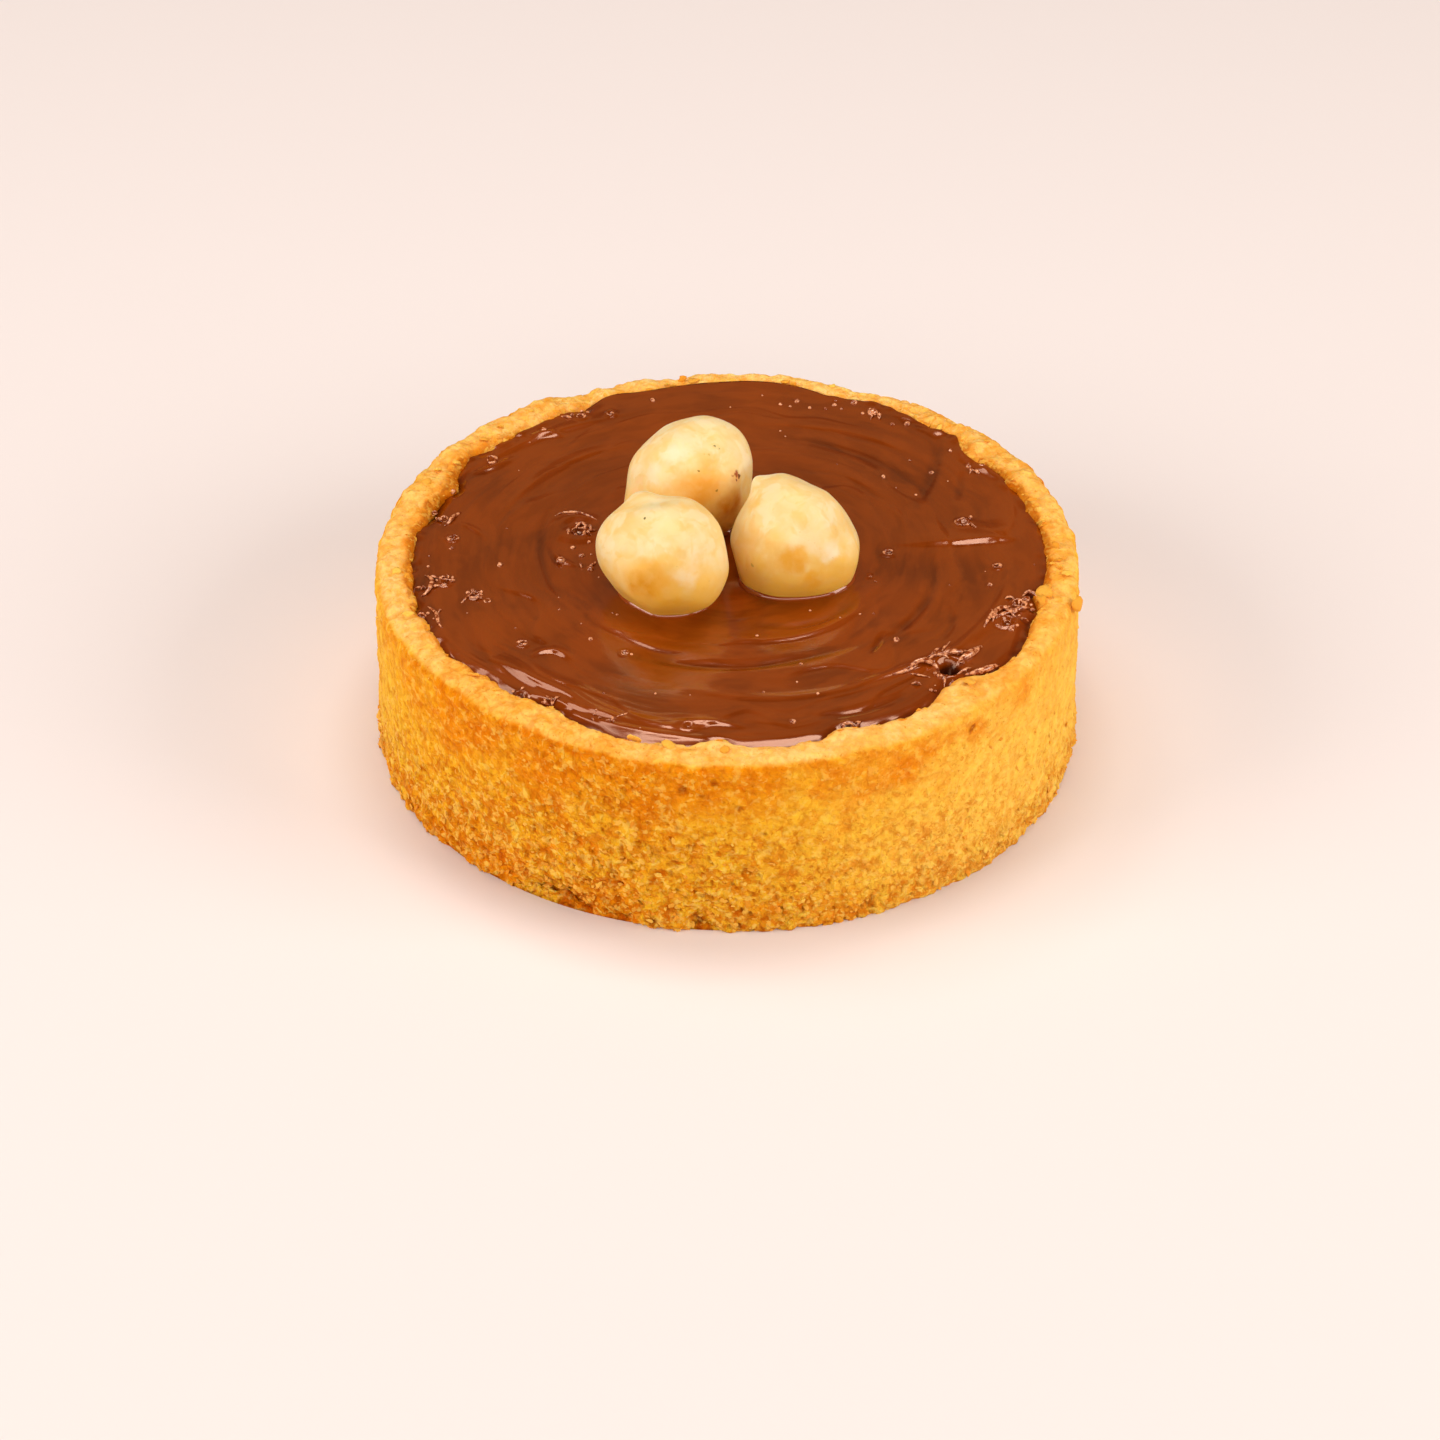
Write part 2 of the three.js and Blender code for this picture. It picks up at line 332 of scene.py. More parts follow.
case = {
    "crumbStand": 0.22,  # how far the crumb stands out of the mean wall, in the CAD's box
    "wallThickness": 3.95,
    "floorThickness": 4.0,
    "rimHeight": 23.0,
    "outerRound": 1.7,
    "innerRound": 1.2,
    "baseRound": 0.35,
    "floorFillet": 2.4,
    "meshStep": 0.29,
    "hiddenStep": 6.0,
    "sectors": 8,
    "stepsPerSector": 97,
    "hiddenDepth": 1.7,  # below the rim the inside is hidden by the filling
    # at degrees, width in degrees, millimetres
    "rimHumps": [
        (24, 9, 0.4), (66, 12, -0.5), (92, 26, -0.75), (116, 5, -0.8), (131, 12, 0.4), (160, 7, 0.25),
        (227, 16, 0.3), (318, 8, 0.2),
    ],
    "rimThickenings": [
        (12, 5, 0.1), (26, 8, 0.45), (37, 6, 1.4), (43, 3, -0.8), (60, 4, -0.6), (71, 4, 0.6),
        (84, 14, -1.2), (112, 4, -0.7), (118, 3, 0.3), (124, 4, 0.2), (131, 5, 0.3), (137, 14, 0.8),
        (146, 5, -0.5), (156, 4, 1.4), (165, 8, 0.9), (181, 6, 0.3), (214, 5, -0.6), (226, 3, -0.5),
        (227, 14, 0.9), (237, 4, 0.9), (250, 7, -0.5), (268, 3, 1.1), (287, 2, -0.5), (291, 4, 1.0),
        (299, 4, 0.3), (315, 6, 1.6), (328, 8, -1.2), (348, 2.2, 0.9),
    ],
    "footFlare": 0.2,
    "footDents": [
        (222, 10, -0.35), (241, 6.5, -2.0), (252.5, 2.5, -0.8), (266, 2.5, -1.2), (318, 12, 0.15),
    ],
    # heights between which something near the foot fades out
    "flaredFoot": (0.0, 5.0),
    "lumpyFoot": (0.3, 2.6),
    "crumblyFoot": (1.0, 5.0),
    "crumblyLow": (2, 17),
    "toastedAndShadedFoot": (0.4, 6.5),
    "chipsLow": (1, 14),
    "brownedTop": (19, 22),  # and between which the browned inner edge begins
    "rimWaver": 0.3,
    # how far below the top something begins, and how far below it is full
    "rimBand": (0.9, 0.3),  # the rim's own colours
    "wallEndBand": (2.4, 0.6),  # the wall's crumb gives way to the rim's
    "lipBand": (1.3, 0.5),  # the crumbs at the inner edge
    "lipInward": (0.7, 0.85),  # and how far in they begin, as shares of the wall's thickness
    # where the wall is toasted: at degrees, width in degrees, strength
    "toastUnderRim": [
        (232, 24, 1.0), (262, 12, 0.75), (284, 12, 0.6), (299, 6, 0.3), (20, 26, 0.5), (110, 30, 0.8),
        (165, 14, 0.35),
    ],
    "toastDepth": 6.5,
    # toasted patches: at degrees, height, radius in millimetres, strength
    "toastPatches": [
        (299, 18.2, 2.0, 0.8), (304, 20.6, 1.2, 0.6), (308, 20.4, 0.9, 0.5), (312.5, 20.0, 1.6, 0.9),
        (325, 20.6, 2.2, 0.6), (306, 14.2, 1.5, 0.4), (291, 16.4, 1.8, 0.4), (222, 16.0, 2.4, 0.5),
        (241, 13.5, 2.2, 0.4), (256, 15.0, 1.8, 0.5),
    ],
    # where the crust is palest, and where it is most crumbly, in the same way
    "paleWall": [(320, 30, 0.5), (352, 16, 0.3), (186, 14, 0.3)],
    # its entry at 90 degrees paints the rim's back paler: painted light where the lamps leave it darker
    "paleRimAndPaintedLight": [(274, 24, 0.5), (303, 14, 0.45), (191, 20, 0.7), (90, 60, 0.8)],
    "crumblyWall": [(250, 30, 0.8), (205, 28, 0.35), (310, 30, 0.25), (90, 60, 0.4)],
    "crumblyRim": [(125, 40, 0.3), (45, 34, 0.28), (195, 20, 0.15), (240, 30, 0.2)],
    "amberWall": [(238, 36, 0.45), (80, 50, 0.3)],
    "brownedInside": [
        (176, 26, 1.0), (4, 20, 1.0), (32, 12, 0.6), (150, 8, 0.8), (112, 14, 0.5), (60, 16, 0.4),
        (215, 14, 0.35), (300, 20, 0.25), (340, 10, 0.4),
    ],
    # brown spots: at degrees, how far out, height, radius in millimetres
    "spots": [
        (315.8, 37.4, 23.2, 0.5), (312.3, 40.0, 20.0, 0.55), (263, 40.0, 19.4, 0.7),
        (266, 40.0, 18.6, 0.4), (268, 40.0, 20.4, 0.5), (293, 40.0, 1.6, 0.9), (246, 40.0, 1.8, 0.9),
        (243, 40.0, 1.2, 0.6), (272, 40.0, 17.0, 0.5), (276, 40.0, 13.5, 0.4), (225, 40.0, 4.0, 0.4),
        (258, 40.0, 1.2, 0.8), (252, 40.0, 1.6, 0.5), (262, 40.0, 9.5, 0.35), (249, 40.0, 6.5, 0.35),
        (266, 40.0, 1.0, 0.9), (272, 40.0, 0.8, 0.6), (279, 40.0, 2.2, 0.5), (319, 40.0, 1.6, 0.6),
        (327, 40.0, 1.4, 0.5),
    ],
    "shares": ("pitShade", "granule", "toastAndShade", "browned", "rim", "rough", "pale"),  # kept with each vertex
    # sizes of the lumps, in millimetres
    "rimLump": 2.5,
    "lump": 1.45,
    "granule": 0.62,
    "stir": 0.9,  # the lumps' edges wander over this distance
    "hole": 0.6,
    "coarseRelief": 0.12,
    "coarseReliefRough": 0.4,  # added where the crust is roughest
    "fineRelief": 0.05,
    "fineReliefRough": 0.12,
    "rimLumps": 0.26,
    "grains": (1.5, 0.68),  # the sizes of two kinds of grain in the material
    "tilt": 1.6,  # how strongly each one leans
    "flakeHighlightLines": (1.7, 0.045),  # size of the pattern and width of the line
    "cracks": (1.3, 0.03),
    "bumpDepth": 0.5,
    # pairs run from the first colour to the second
    "colours": {
        "ground": ((240, 160, 10), (250, 188, 30)),
        "grain": ((234, 144, 2), (255, 217, 56)),
        "pale": (252, 202, 110),
        "rimDeep": ((232, 146, 34), (250, 204, 108)),
        "rimPale": ((242, 178, 82), (253, 224, 156)),
        "speckle": (255, 218, 86),
        "toastedAndShaded": ((222, 106, 0), (248, 156, 8)),
        "browned": (150, 60, 4),
        "fleck": ((206, 108, 0), (206, 132, 14)),
        # painted shade low between the grains
        "valleyShade": ((214, 96, 0), (236, 154, 38)),
        # painted highlights on the flake edges and on raised grit
        "flakeEdgeHighlight": (255, 210, 88),
        "raisedHighlight": (255, 214, 100),
        # painted shade in hollows, on the wall and on the rim, and in gaps
        "hollow": ((178, 66, 0), (222, 138, 30)),
        "rimHollowShade": (236, 152, 40),
        "gapShade": (238, 140, 0),
    },
}
tartRadius = (caseHigh.x - caseLow.x + caseHigh.y - caseLow.y) / 4 - case["crumbStand"]
rimHeight = case["rimHeight"]
innerRadius = tartRadius - case["wallThickness"]


def rimLift(angle):
    turn = math.radians(angle)
    onCircle = Vector((math.cos(turn), math.sin(turn), 0)) * tartRadius
    return sumOfBells(case["rimHumps"], angle) + case["rimWaver"] * grain(onCircle, 4.2, 0.3)


def wallInset(angle, height):
    share = ease(height, case["floorThickness"], rimHeight)
    return share * sumOfBells(case["rimThickenings"], angle)


def towardsTop(height, band):  # 0 below a band under the rim's top, 1 above it
    return ease(height, rimHeight - band[0], rimHeight - band[1])


def roughnessAt(point, angle, onWall):
    # How crumbly the crust is at a place, 0 to about 1: most at the foot and in front.
    low = 1 - ease(point.z, *case["crumblyLow"])
    around = 0.2 + sumOfBells(case["crumblyWall"], angle)
    patches = 0.6 + 0.8 * (0.5 + 0.5 * grain(point, 6.0, 4.4))
    foot = 0.4 * (1 - ease(point.z, *case["crumblyFoot"]))
    wall = min(1.0, (0.4 + 0.6 * low) * around * patches + foot)
    rim = 0.12 + sumOfBells(case["crumblyRim"], angle)
    return wall * onWall + rim * (1 - onWall)


def crustRelief(point, rough, onWall):
    # How far the crumb stands out, how deep in a crevice the place is (for the painted shade there), and
    # its grain's tint: its own, and paler on the lumps' tops as a painted highlight.
    stir = Vector([grain(point, case["stir"], shift) for shift in (1.1, 5.3, 8.9)])
    dome, edge, own = domeAt(point + 0.45 * stir, case["lump"], 0.2)
    coarse = dome * (0.4 + 0.8 * own.x) - 0.45
    fineDome, fineEdge, fineOwn = domeAt(point + 0.25 * stir, case["granule"], 3.1)
    fine = fineDome * (0.4 + 0.6 * fineOwn.x) - 0.4
    big, bigEdge, _ = domeAt(point + 0.8 * stir, case["rimLump"], 5.7)
    hole = ease(grain(point, case["hole"], 7.7), 0.4, 0.58)
    wide = 0.2 * grain(point, 3.3, 0.4) + 0.1 * grain(point, 1.5, 2.1)
    foot = (1 - ease(point.z, *case["lumpyFoot"])) * onWall * 0.3 * grain(point, 1.1, 5.5)
    lumps = case["rimLumps"] * (grain(point, 2.6, 9.1) + 0.5 * grain(point, 1.1, 4.8))
    lumps += 0.8 * rough * (big - 0.6)
    relief = (
        wide
        + foot
        + (1 - onWall) * lumps
        + (case["coarseRelief"] + case["coarseReliefRough"] * rough) * coarse
        + (case["fineRelief"] + case["fineReliefRough"] * rough) * fine
        - (0.04 + 0.4 * rough) * hole
    )
    parted = ease(grain(point, 1.7, 6.1), -0.25, 0.35)  # only here do the crevices gape
    crevice = (1 - ease(edge, 0.0, 0.24)) * (0.1 + 0.9 * rough) * parted
    crevice = max(crevice, (1 - onWall) * rough * (1 - ease(bigEdge, 0.0, 0.22)))
    small = 0.5 * (1 - ease(fineEdge, 0.0, 0.2)) * rough * parted
    # This share paints shade: the crumb is coloured darker in its crevices and holes.
    pitShade = min(1.0, max(crevice, small, hole * (0.2 + rough)))
    # The grain's tint is its own, and paler on the lumps' tops: a painted highlight.
    return relief, pitShade, 0.3 * own.x + 0.3 * fineOwn.x + 0.4 * max(0.0, dome * fineDome)


def crustColours(point, angle, radius, rimShare):
    # Shares of toasted crust, with painted shade at the foot, and of browned crust at a place.
    drop = rimHeight - point.z
    patches = 0.5 + 0.9 * grain(point, 5.2, 1.2) + 0.35 * grain(point, 1.9, 6.0)
    waver = 0.3 * grain(point, 2.4, 5.7)
    depth = case["toastDepth"]
    below = ease(drop + waver, 0.5, 1.0) * (1 - ease(drop, 0.35 * depth, 1.4 * depth))
    under = min(1.0, 0.25 + sumOfBells(case["toastUnderRim"], angle)) * below * ease(patches, -0.3, 0.6)
    amber = sumOfBells(case["amberWall"], angle) * (0.6 + 0.6 * ease(patches, 0.1, 0.9))
    # Darker at the foot: toasting, and painted shade where the wall meets the floor.
    foot = 0.85 * (1 - ease(point.z, *case["toastedAndShadedFoot"])) * ease(patches, 0.0, 0.8)
    foot *= 1 - 1.4 * sumOfBells(case["paleWall"], angle)
    inner = min(1.0, 0.2 + sumOfBells(case["brownedInside"], angle))
    inner *= ease(point.z, *case["brownedTop"])
    fromInside = radius - innerRadius + 0.5 * grain(point, 1.3, 3.0)
    toastedInside = inner * (1 - ease(fromInside, 0.4, 0.7 + 0.9 * inner))
    toastAndShade = amber * (1 - rimShare) + under + max(0.0, foot) + toastedInside
    for at, height, size, strength in case["toastPatches"]:
        aside = math.radians(turnFrom(angle, at)) * tartRadius
        away = math.hypot(aside, point.z - height) * (1 + 0.5 * grain(point, 1.6, 7.0))
        toastAndShade += strength * bell(away, size) * (1 - rimShare)
    toastAndShade = min(1.0, toastAndShade)
    browned = 0.65 * inner * (1 - ease(fromInside, 0.1 + 0.4 * inner, 0.35 + 0.6 * inner))
    for at, out, height, size in case["spots"]:
        turn = math.radians(at)
        middle = Vector((out * math.cos(turn), out * math.sin(turn), height))
        away = (point - middle).length + 0.7 * size * grain(point, 0.7, 4.0)
        browned = max(browned, 0.9 * (1 - ease(away, 0.5 * size, size)))
    return toastAndShade, browned


def makeCase(material):
    lowestSeen = rimHeight - case["hiddenDepth"]
    corners = [
        (0, 0, 0, 0),
        (tartRadius, 0, case["baseRound"], 3),
        (tartRadius, rimHeight, case["outerRound"], 9),
        (innerRadius, rimHeight, case["innerRound"], 5),
        (innerRadius, lowestSeen, 0, 0),
        (innerRadius, case["floorThickness"], case["floorFillet"], 3),
        (0, case["floorThickness"], 0, 0),
    ]

    def isHidden(middle):
        return middle.z < 0.01 or (middle.x < innerRadius + 0.01 and middle.z < lowestSeen)

    bm = wireProfile(corners, case["meshStep"], case["hiddenStep"], isHidden)
    spinInSectors(bm, case["sectors"], case["stepsPerSector"])
    bm.normal_update()
    layers = {name: bm.verts.layers.float.new(name) for name in case["shares"]}
    seats = []
    for vert in bm.verts:
        point = vert.co.copy()
        radius = math.hypot(point.x, point.y)
        angle = angleAt(point.x, point.y)
        inward = min(1.0, max(0.0, (tartRadius - radius) / case["wallThickness"]))
        isFloor = point.z < rimHeight / 2 and radius < innerRadius + 0.5 or point.z < 0.01
        rimShare = towardsTop(point.z + 0.25 * grain(point, 1.7, 2.2), case["rimBand"])
        onWall = 1 - towardsTop(point.z, case["wallEndBand"])
        rough = roughnessAt(point, angle, onWall)
        relief, pitShade, tint = crustRelief(point, rough, onWall)
        toastAndShade, browned = crustColours(point, angle, radius, rimShare)
        pale = rimShare * sumOfBells(case["paleRimAndPaintedLight"], angle)
        pale += (1 - rimShare) * sumOfBells(case["paleWall"], angle)
        flare = case["footFlare"] + sumOfBells(case["footDents"], angle)
        relief += flare * (1 - ease(point.z, *case["flaredFoot"]))
        if not isFloor:
            vert.co += vert.normal * relief
            sideways = inward * wallInset(angle, point.z)
            vert.co.x *= 1 - sideways / radius
            vert.co.y *= 1 - sideways / radius
            vert.co.z += ease(point.z, rimHeight / 2, rimHeight) * rimLift(angle)
            vert.co.z = max(vert.co.z, 0.0)
        for name, value in zip(case["shares"], (pitShade, tint, toastAndShade, browned, rimShare, rough, pale)):
            vert[layers[name]] = value
        if radius > innerRadius and not isFloor:
            crumbly = rough * onWall * (1 - 0.65 * ease(point.z, *case["chipsLow"]))
            lip = ease(inward, *case["lipInward"]) * towardsTop(point.z, case["lipBand"])
            seats.append((vert.co.copy(), vert.normal.copy(), crumbly, toastAndShade, lip))
    finishPiece(bm, "baked_case", material, "pastry", "pastry_case")
    return seats


def pastryMaterial():
    material, tree, shader = newMaterial("shortcrust")
    paint = case["colours"]
    place = millimetres(tree)
    pitShade, granule, toastAndShade, browned, rim, rough, pale = [attributeOf(tree, name) for name in case["shares"]]

    # Rounded grains in two sizes, stirred so that none is regular. Each leans its own way.
    stirred = stirredBy(tree, place, noiseOf(tree, place, 0.8, output="Color"), 0.7)
    heights = []
    tints = []
    for size in case["grains"]:
        cells = addNode(tree, "TexVoronoi", {"Vector": stirred, "Scale": 1 / size}, feature="F1").outputs
        offset = vectorMath(tree, "SUBTRACT", stirred, cells["Position"])
        slant = vectorMath(tree, "SUBTRACT", cells["Color"], (0.5, 0.5, 0.5))
        lean = vectorMath(tree, "DOT_PRODUCT", offset, slant, output="Value")
        dome = stepOf(tree, cells["Distance"], 0.85, 0.05)
        heights.append(mathOf(tree, "MULTIPLY_ADD", lean, case["tilt"] / size, dome))
        tints.append(addNode(tree, "SeparateColor", {"Color": cells["Color"]}).outputs["Green"])

    def lines(size, width):  # thin lines that wander
        offMiddle = mathOf(tree, "SUBTRACT", noiseOf(tree, stirred, size), 0.5)
        return stepOf(tree, mathOf(tree, "ABSOLUTE", offMiddle), width, 0.0)

    # pale lines along the flakes' edges: a painted highlight
    flakeEdgeHighlight = lines(*case["flakeHighlightLines"])
    broken = stepOf(tree, noiseOf(tree, place, 1.5, 1.0), 0.5, 0.6)
    # the cracks are coloured darker: painted shade in them
    crack = times(tree, lines(*case["cracks"]), broken)
    uneven = stepOf(tree, rough, 0.0, 0.7, 0.35, 1.0)
    grit = noiseOf(tree, stirred, 0.9, 2.0, 0.55)
    # paler on the grit's high points: a painted highlight
    raisedHighlight = stepOf(tree, grit, 0.53, 0.64, 0.0, 0.6)
    # darker in the grit's low places: painted shade
    sunk = stepOf(tree, grit, 0.45, 0.33, 0.0, 0.7)
    # darker low between the larger grains: painted shade
    valleyShade = stepOf(tree, heights[0], 0.35, 0.0, 0.0, 0.5)
    fleck = stepOf(tree, noiseOf(tree, place, 0.42, 1.0), 0.68, 0.72, 0.0, 0.55)
    broad = stepOf(tree, noiseOf(tree, place, 6.0, 4.0), 0.38, 0.62)
    fine = noiseOf(tree, place, 0.4, 3.0, 0.6)
    # pale specks where the fine noise is highest, which the bump also raises: a painted highlight
    speckle = stepOf(tree, fine, 0.36, 0.68)

    tint = blend(tree, 0.45, blend(tree, 0.5, tints[0], tints[1]), granule)
    motley = blend(tree, 0.5, tint, stepOf(tree, noiseOf(tree, place, 2.0, 3.0, 0.6), 0.4, 0.6))
    rimDeep = between(tree, motley, paint["rimDeep"])
    rimPale = between(tree, motley, paint["rimPale"])
    # The colours of the painted shade in crevices, holes, sunk grit and cracks.
    hollow = layered(tree, between(tree, pale, paint["hollow"]), (rim, paint["rimHollowShade"]))
    gapShade = layered(tree, hollow, (0.4, paint["gapShade"]))
    body = layered(
        tree,
        between(tree, broad, paint["ground"]),
        (0.6, between(tree, tint, paint["grain"])),
        (times(tree, pale, 0.8), paint["pale"]),
        (rim, blend(tree, pale, rimDeep, rimPale)),
        (times(tree, speckle, 0.2), paint["speckle"]),
        (times(tree, toastAndShade, 0.85), between(tree, tint, paint["toastedAndShaded"])),
        (times(tree, browned, 0.92), paint["browned"]),
        (fleck, between(tree, pale, paint["fleck"])),
        (times(tree, valleyShade, uneven), between(tree, pale, paint["valleyShade"])),
        (times(tree, flakeEdgeHighlight, 0.2, uneven), paint["flakeEdgeHighlight"]),
        (times(tree, raisedHighlight, uneven), paint["raisedHighlight"]),
        (times(tree, sunk, uneven), gapShade),
        (times(tree, pitShade, 0.7), hollow),
        (times(tree, crack, 0.35, uneven), gapShade),
    )
    height = layered(  # white stands out, black lies deep
        tree,
        heights[0],
        (0.42, heights[1]),
        (0.12, fine),
        (0.4, stepOf(tree, grit, 0.3, 0.7)),
        (times(tree, flakeEdgeHighlight, 0.1), (255, 255, 255)),
        (times(tree, crack, 0.3), (0, 0, 0)),
    )
    softerRim = stepOf(tree, rim, 0.0, 1.0, 1.0, 0.6)
    strength = times(tree, stepOf(tree, rough, 0.05, 0.7, 0.55, 1.0), softerRim)
    setInputs(tree, shader, {
        "Base Color": body,
        "Roughness": 0.7,
        "Specular IOR Level": 0.04,
        "Specular Tint": (1.0, 0.7, 0.24, 1),
        "Subsurface Weight": 0.25,
        "Subsurface Radius": (1.0, 0.5, 0.12),
        "Subsurface Scale": 0.35 * mm,
        "Normal": bumpOf(tree, height, strength, case["bumpDepth"]),
    })
    return material


# Chips of crumb that stand out of the wall, and a few that have come loose on the rim.
chips = {
    "seed": 5,
    "shapes": 10,
    "count": 2600,
    "radius": (0.12, 0.42, 0.2),  # least, most and most usual
    "unevenness": 0.8,
    "flatness": (0.25, 0.6),
    "length": (1.0, 1.6),  # over its width
    "lean": 0.5,  # radians, the usual one
    "sunk": 0.45,  # of its radius, into the wall
    "lipCount": 260,  # small ones along the rim's inner edge
    "lipRadius": (0.1, 0.5, 0.2),
    "lipSunk": 0.15,
    "lipToast": 0.7,
    "rimDepth": 1.2,  # the loose ones lie on what is this far below the rim's top or less
    "looseCount": 30,
    "looseFromEdge": (0.2, 3.0, 0.4),
    "looseRadius": (0.3, 0.62, 0.4),
    "looseRise": 0.4,
    "looseToast": -0.3,  # paler than any that isn't loose
    # x, y, radius: the larger loose ones
    "looseAt": [(35.7, -7.6, 0.9), (35.2, -8.7, 0.55), (39.4, -8.9, 0.75), (35.8, -6.5, 0.5)],
    "paleness": (0.1, 0.9),
    "tints": ((228, 134, 8), (255, 210, 96)),
    "speckle": (244, 166, 40),
}


def chipShapes(fineness):
    shapes = []
    for index in range(chips["shapes"]):
        bm = bmesh.new()
        bmesh.ops.create_icosphere(bm, subdivisions=fineness, radius=1.0)
        for vert in bm.verts:
            vert.co *= 1 + chips["unevenness"] * grain(vert.co, 0.8, index * 3.1)
        mesh = bpy.data.meshes.new("chip")
        bm.to_mesh(mesh)
        bm.free()
        mesh.attributes.new("tint", "FLOAT", "POINT")
        shapes.append(mesh)
    return shapes


def addChip(bm, shapes, seat, normal, radius, toastAndShade):
    turned = Euler([random.uniform(0, 2 * math.pi) for _ in range(3)]).to_matrix().to_4x4()
    outward = upward.rotation_difference(normal).to_matrix().to_4x4()
    flat = random.uniform(*chips["flatness"])
    sizes = Matrix.Diagonal((radius * random.uniform(*chips["length"]), radius, radius * flat, 1))
    spin = Matrix.Rotation(random.uniform(0, 2 * math.pi), 4, "Z")
    lean = Matrix.Rotation(random.gauss(0, chips["lean"]), 4, "X")
    place = Matrix.Translation(seat - normal * chips["sunk"] * radius * flat)
    mesh = random.choice(shapes).copy()
    mesh.transform(place @ outward @ lean @ spin @ sizes @ turned)
    tint = random.uniform(*chips["paleness"]) * (1 - 0.5 * toastAndShade)
    mesh.attributes["tint"].data.foreach_set("value", [tint] * len(mesh.vertices))
    bm.from_mesh(mesh)
    bpy.data.meshes.remove(mesh)


def makeChips(seats, material):
    random.seed(chips["seed"])
    shapes = chipShapes(1)
    bm = bmesh.new()
    low, high, usual = chips["radius"]
    chances = [rough ** 1.2 for _, _, rough, _, _ in seats]
    for seat, normal, _, toastAndShade, _ in random.choices(seats, chances, k=chips["count"]):
        addChip(bm, shapes, seat, normal, random.triangular(low, high, usual), toastAndShade)
    low, high, usual = chips["lipRadius"]
    chances = [lip for *_, lip in seats]
    for seat, normal, *_ in random.choices(seats, chances, k=chips["lipCount"]):
        size = random.triangular(low, high, usual)
        addChip(bm, shapes, seat - chips["lipSunk"] * size * normal, normal, size, chips["lipToast"])
    for vert in bm.verts:
        vert.co.z = max(vert.co.z, 0.0)
    finishPiece(bm, "crumb_chips", material, "pastry", smooth=False)

    # The loose ones lie on the rim, mostly along its inner edge.
    rounder = chipShapes(2)
    bm = bmesh.new()
    onRim = [seat for seat in seats if seat[0].z > rimHeight - chips["rimDepth"]]
    tree = kdtree.KDTree(len(onRim))
    for index, (place, *_) in enumerate(onRim):
        tree.insert(place, index)
    tree.balance()
    wanted = list(chips["looseAt"])
    for _ in range(chips["looseCount"]):
        turn = random.uniform(0, 2 * math.pi)
        reach = innerRadius + random.triangular(*chips["looseFromEdge"])
        size = random.triangular(*chips["looseRadius"])
        wanted.append((reach * math.cos(turn), reach * math.sin(turn), size))
    for x, y, size in wanted:
        _, index, _ = tree.find(Vector((x, y, rimHeight)))
        place, normal, *_ = onRim[index]
        seat = Vector((x, y, place.z + chips["looseRise"] * size))
        addChip(bm, rounder, seat, normal, size, chips["looseToast"])
    finishPiece(bm, "loose_crumbs", material, "pastry")


def crumbMaterial():
    material, tree, shader = newMaterial("crumb")
    speckle = stepOf(tree, noiseOf(tree, millimetres(tree), 0.3, 3.0, 0.6), 0.35, 0.7)
    body = between(tree, attributeOf(tree, "tint"), chips["tints"])
    setInputs(tree, shader, {
        "Base Color": layered(tree, body, (times(tree, speckle, 0.35), chips["speckle"])),
        "Roughness": 0.6,
        "Specular IOR Level": 0.3,
        "Specular Tint": (1.0, 0.74, 0.36, 1),
        "Subsurface Weight": 0.2,
        "Subsurface Radius": (1.0, 0.5, 0.2),
        "Subsurface Scale": 0.4 * mm,
        "Normal": bumpOf(tree, speckle, 0.4, 0.08),
    })
    return material


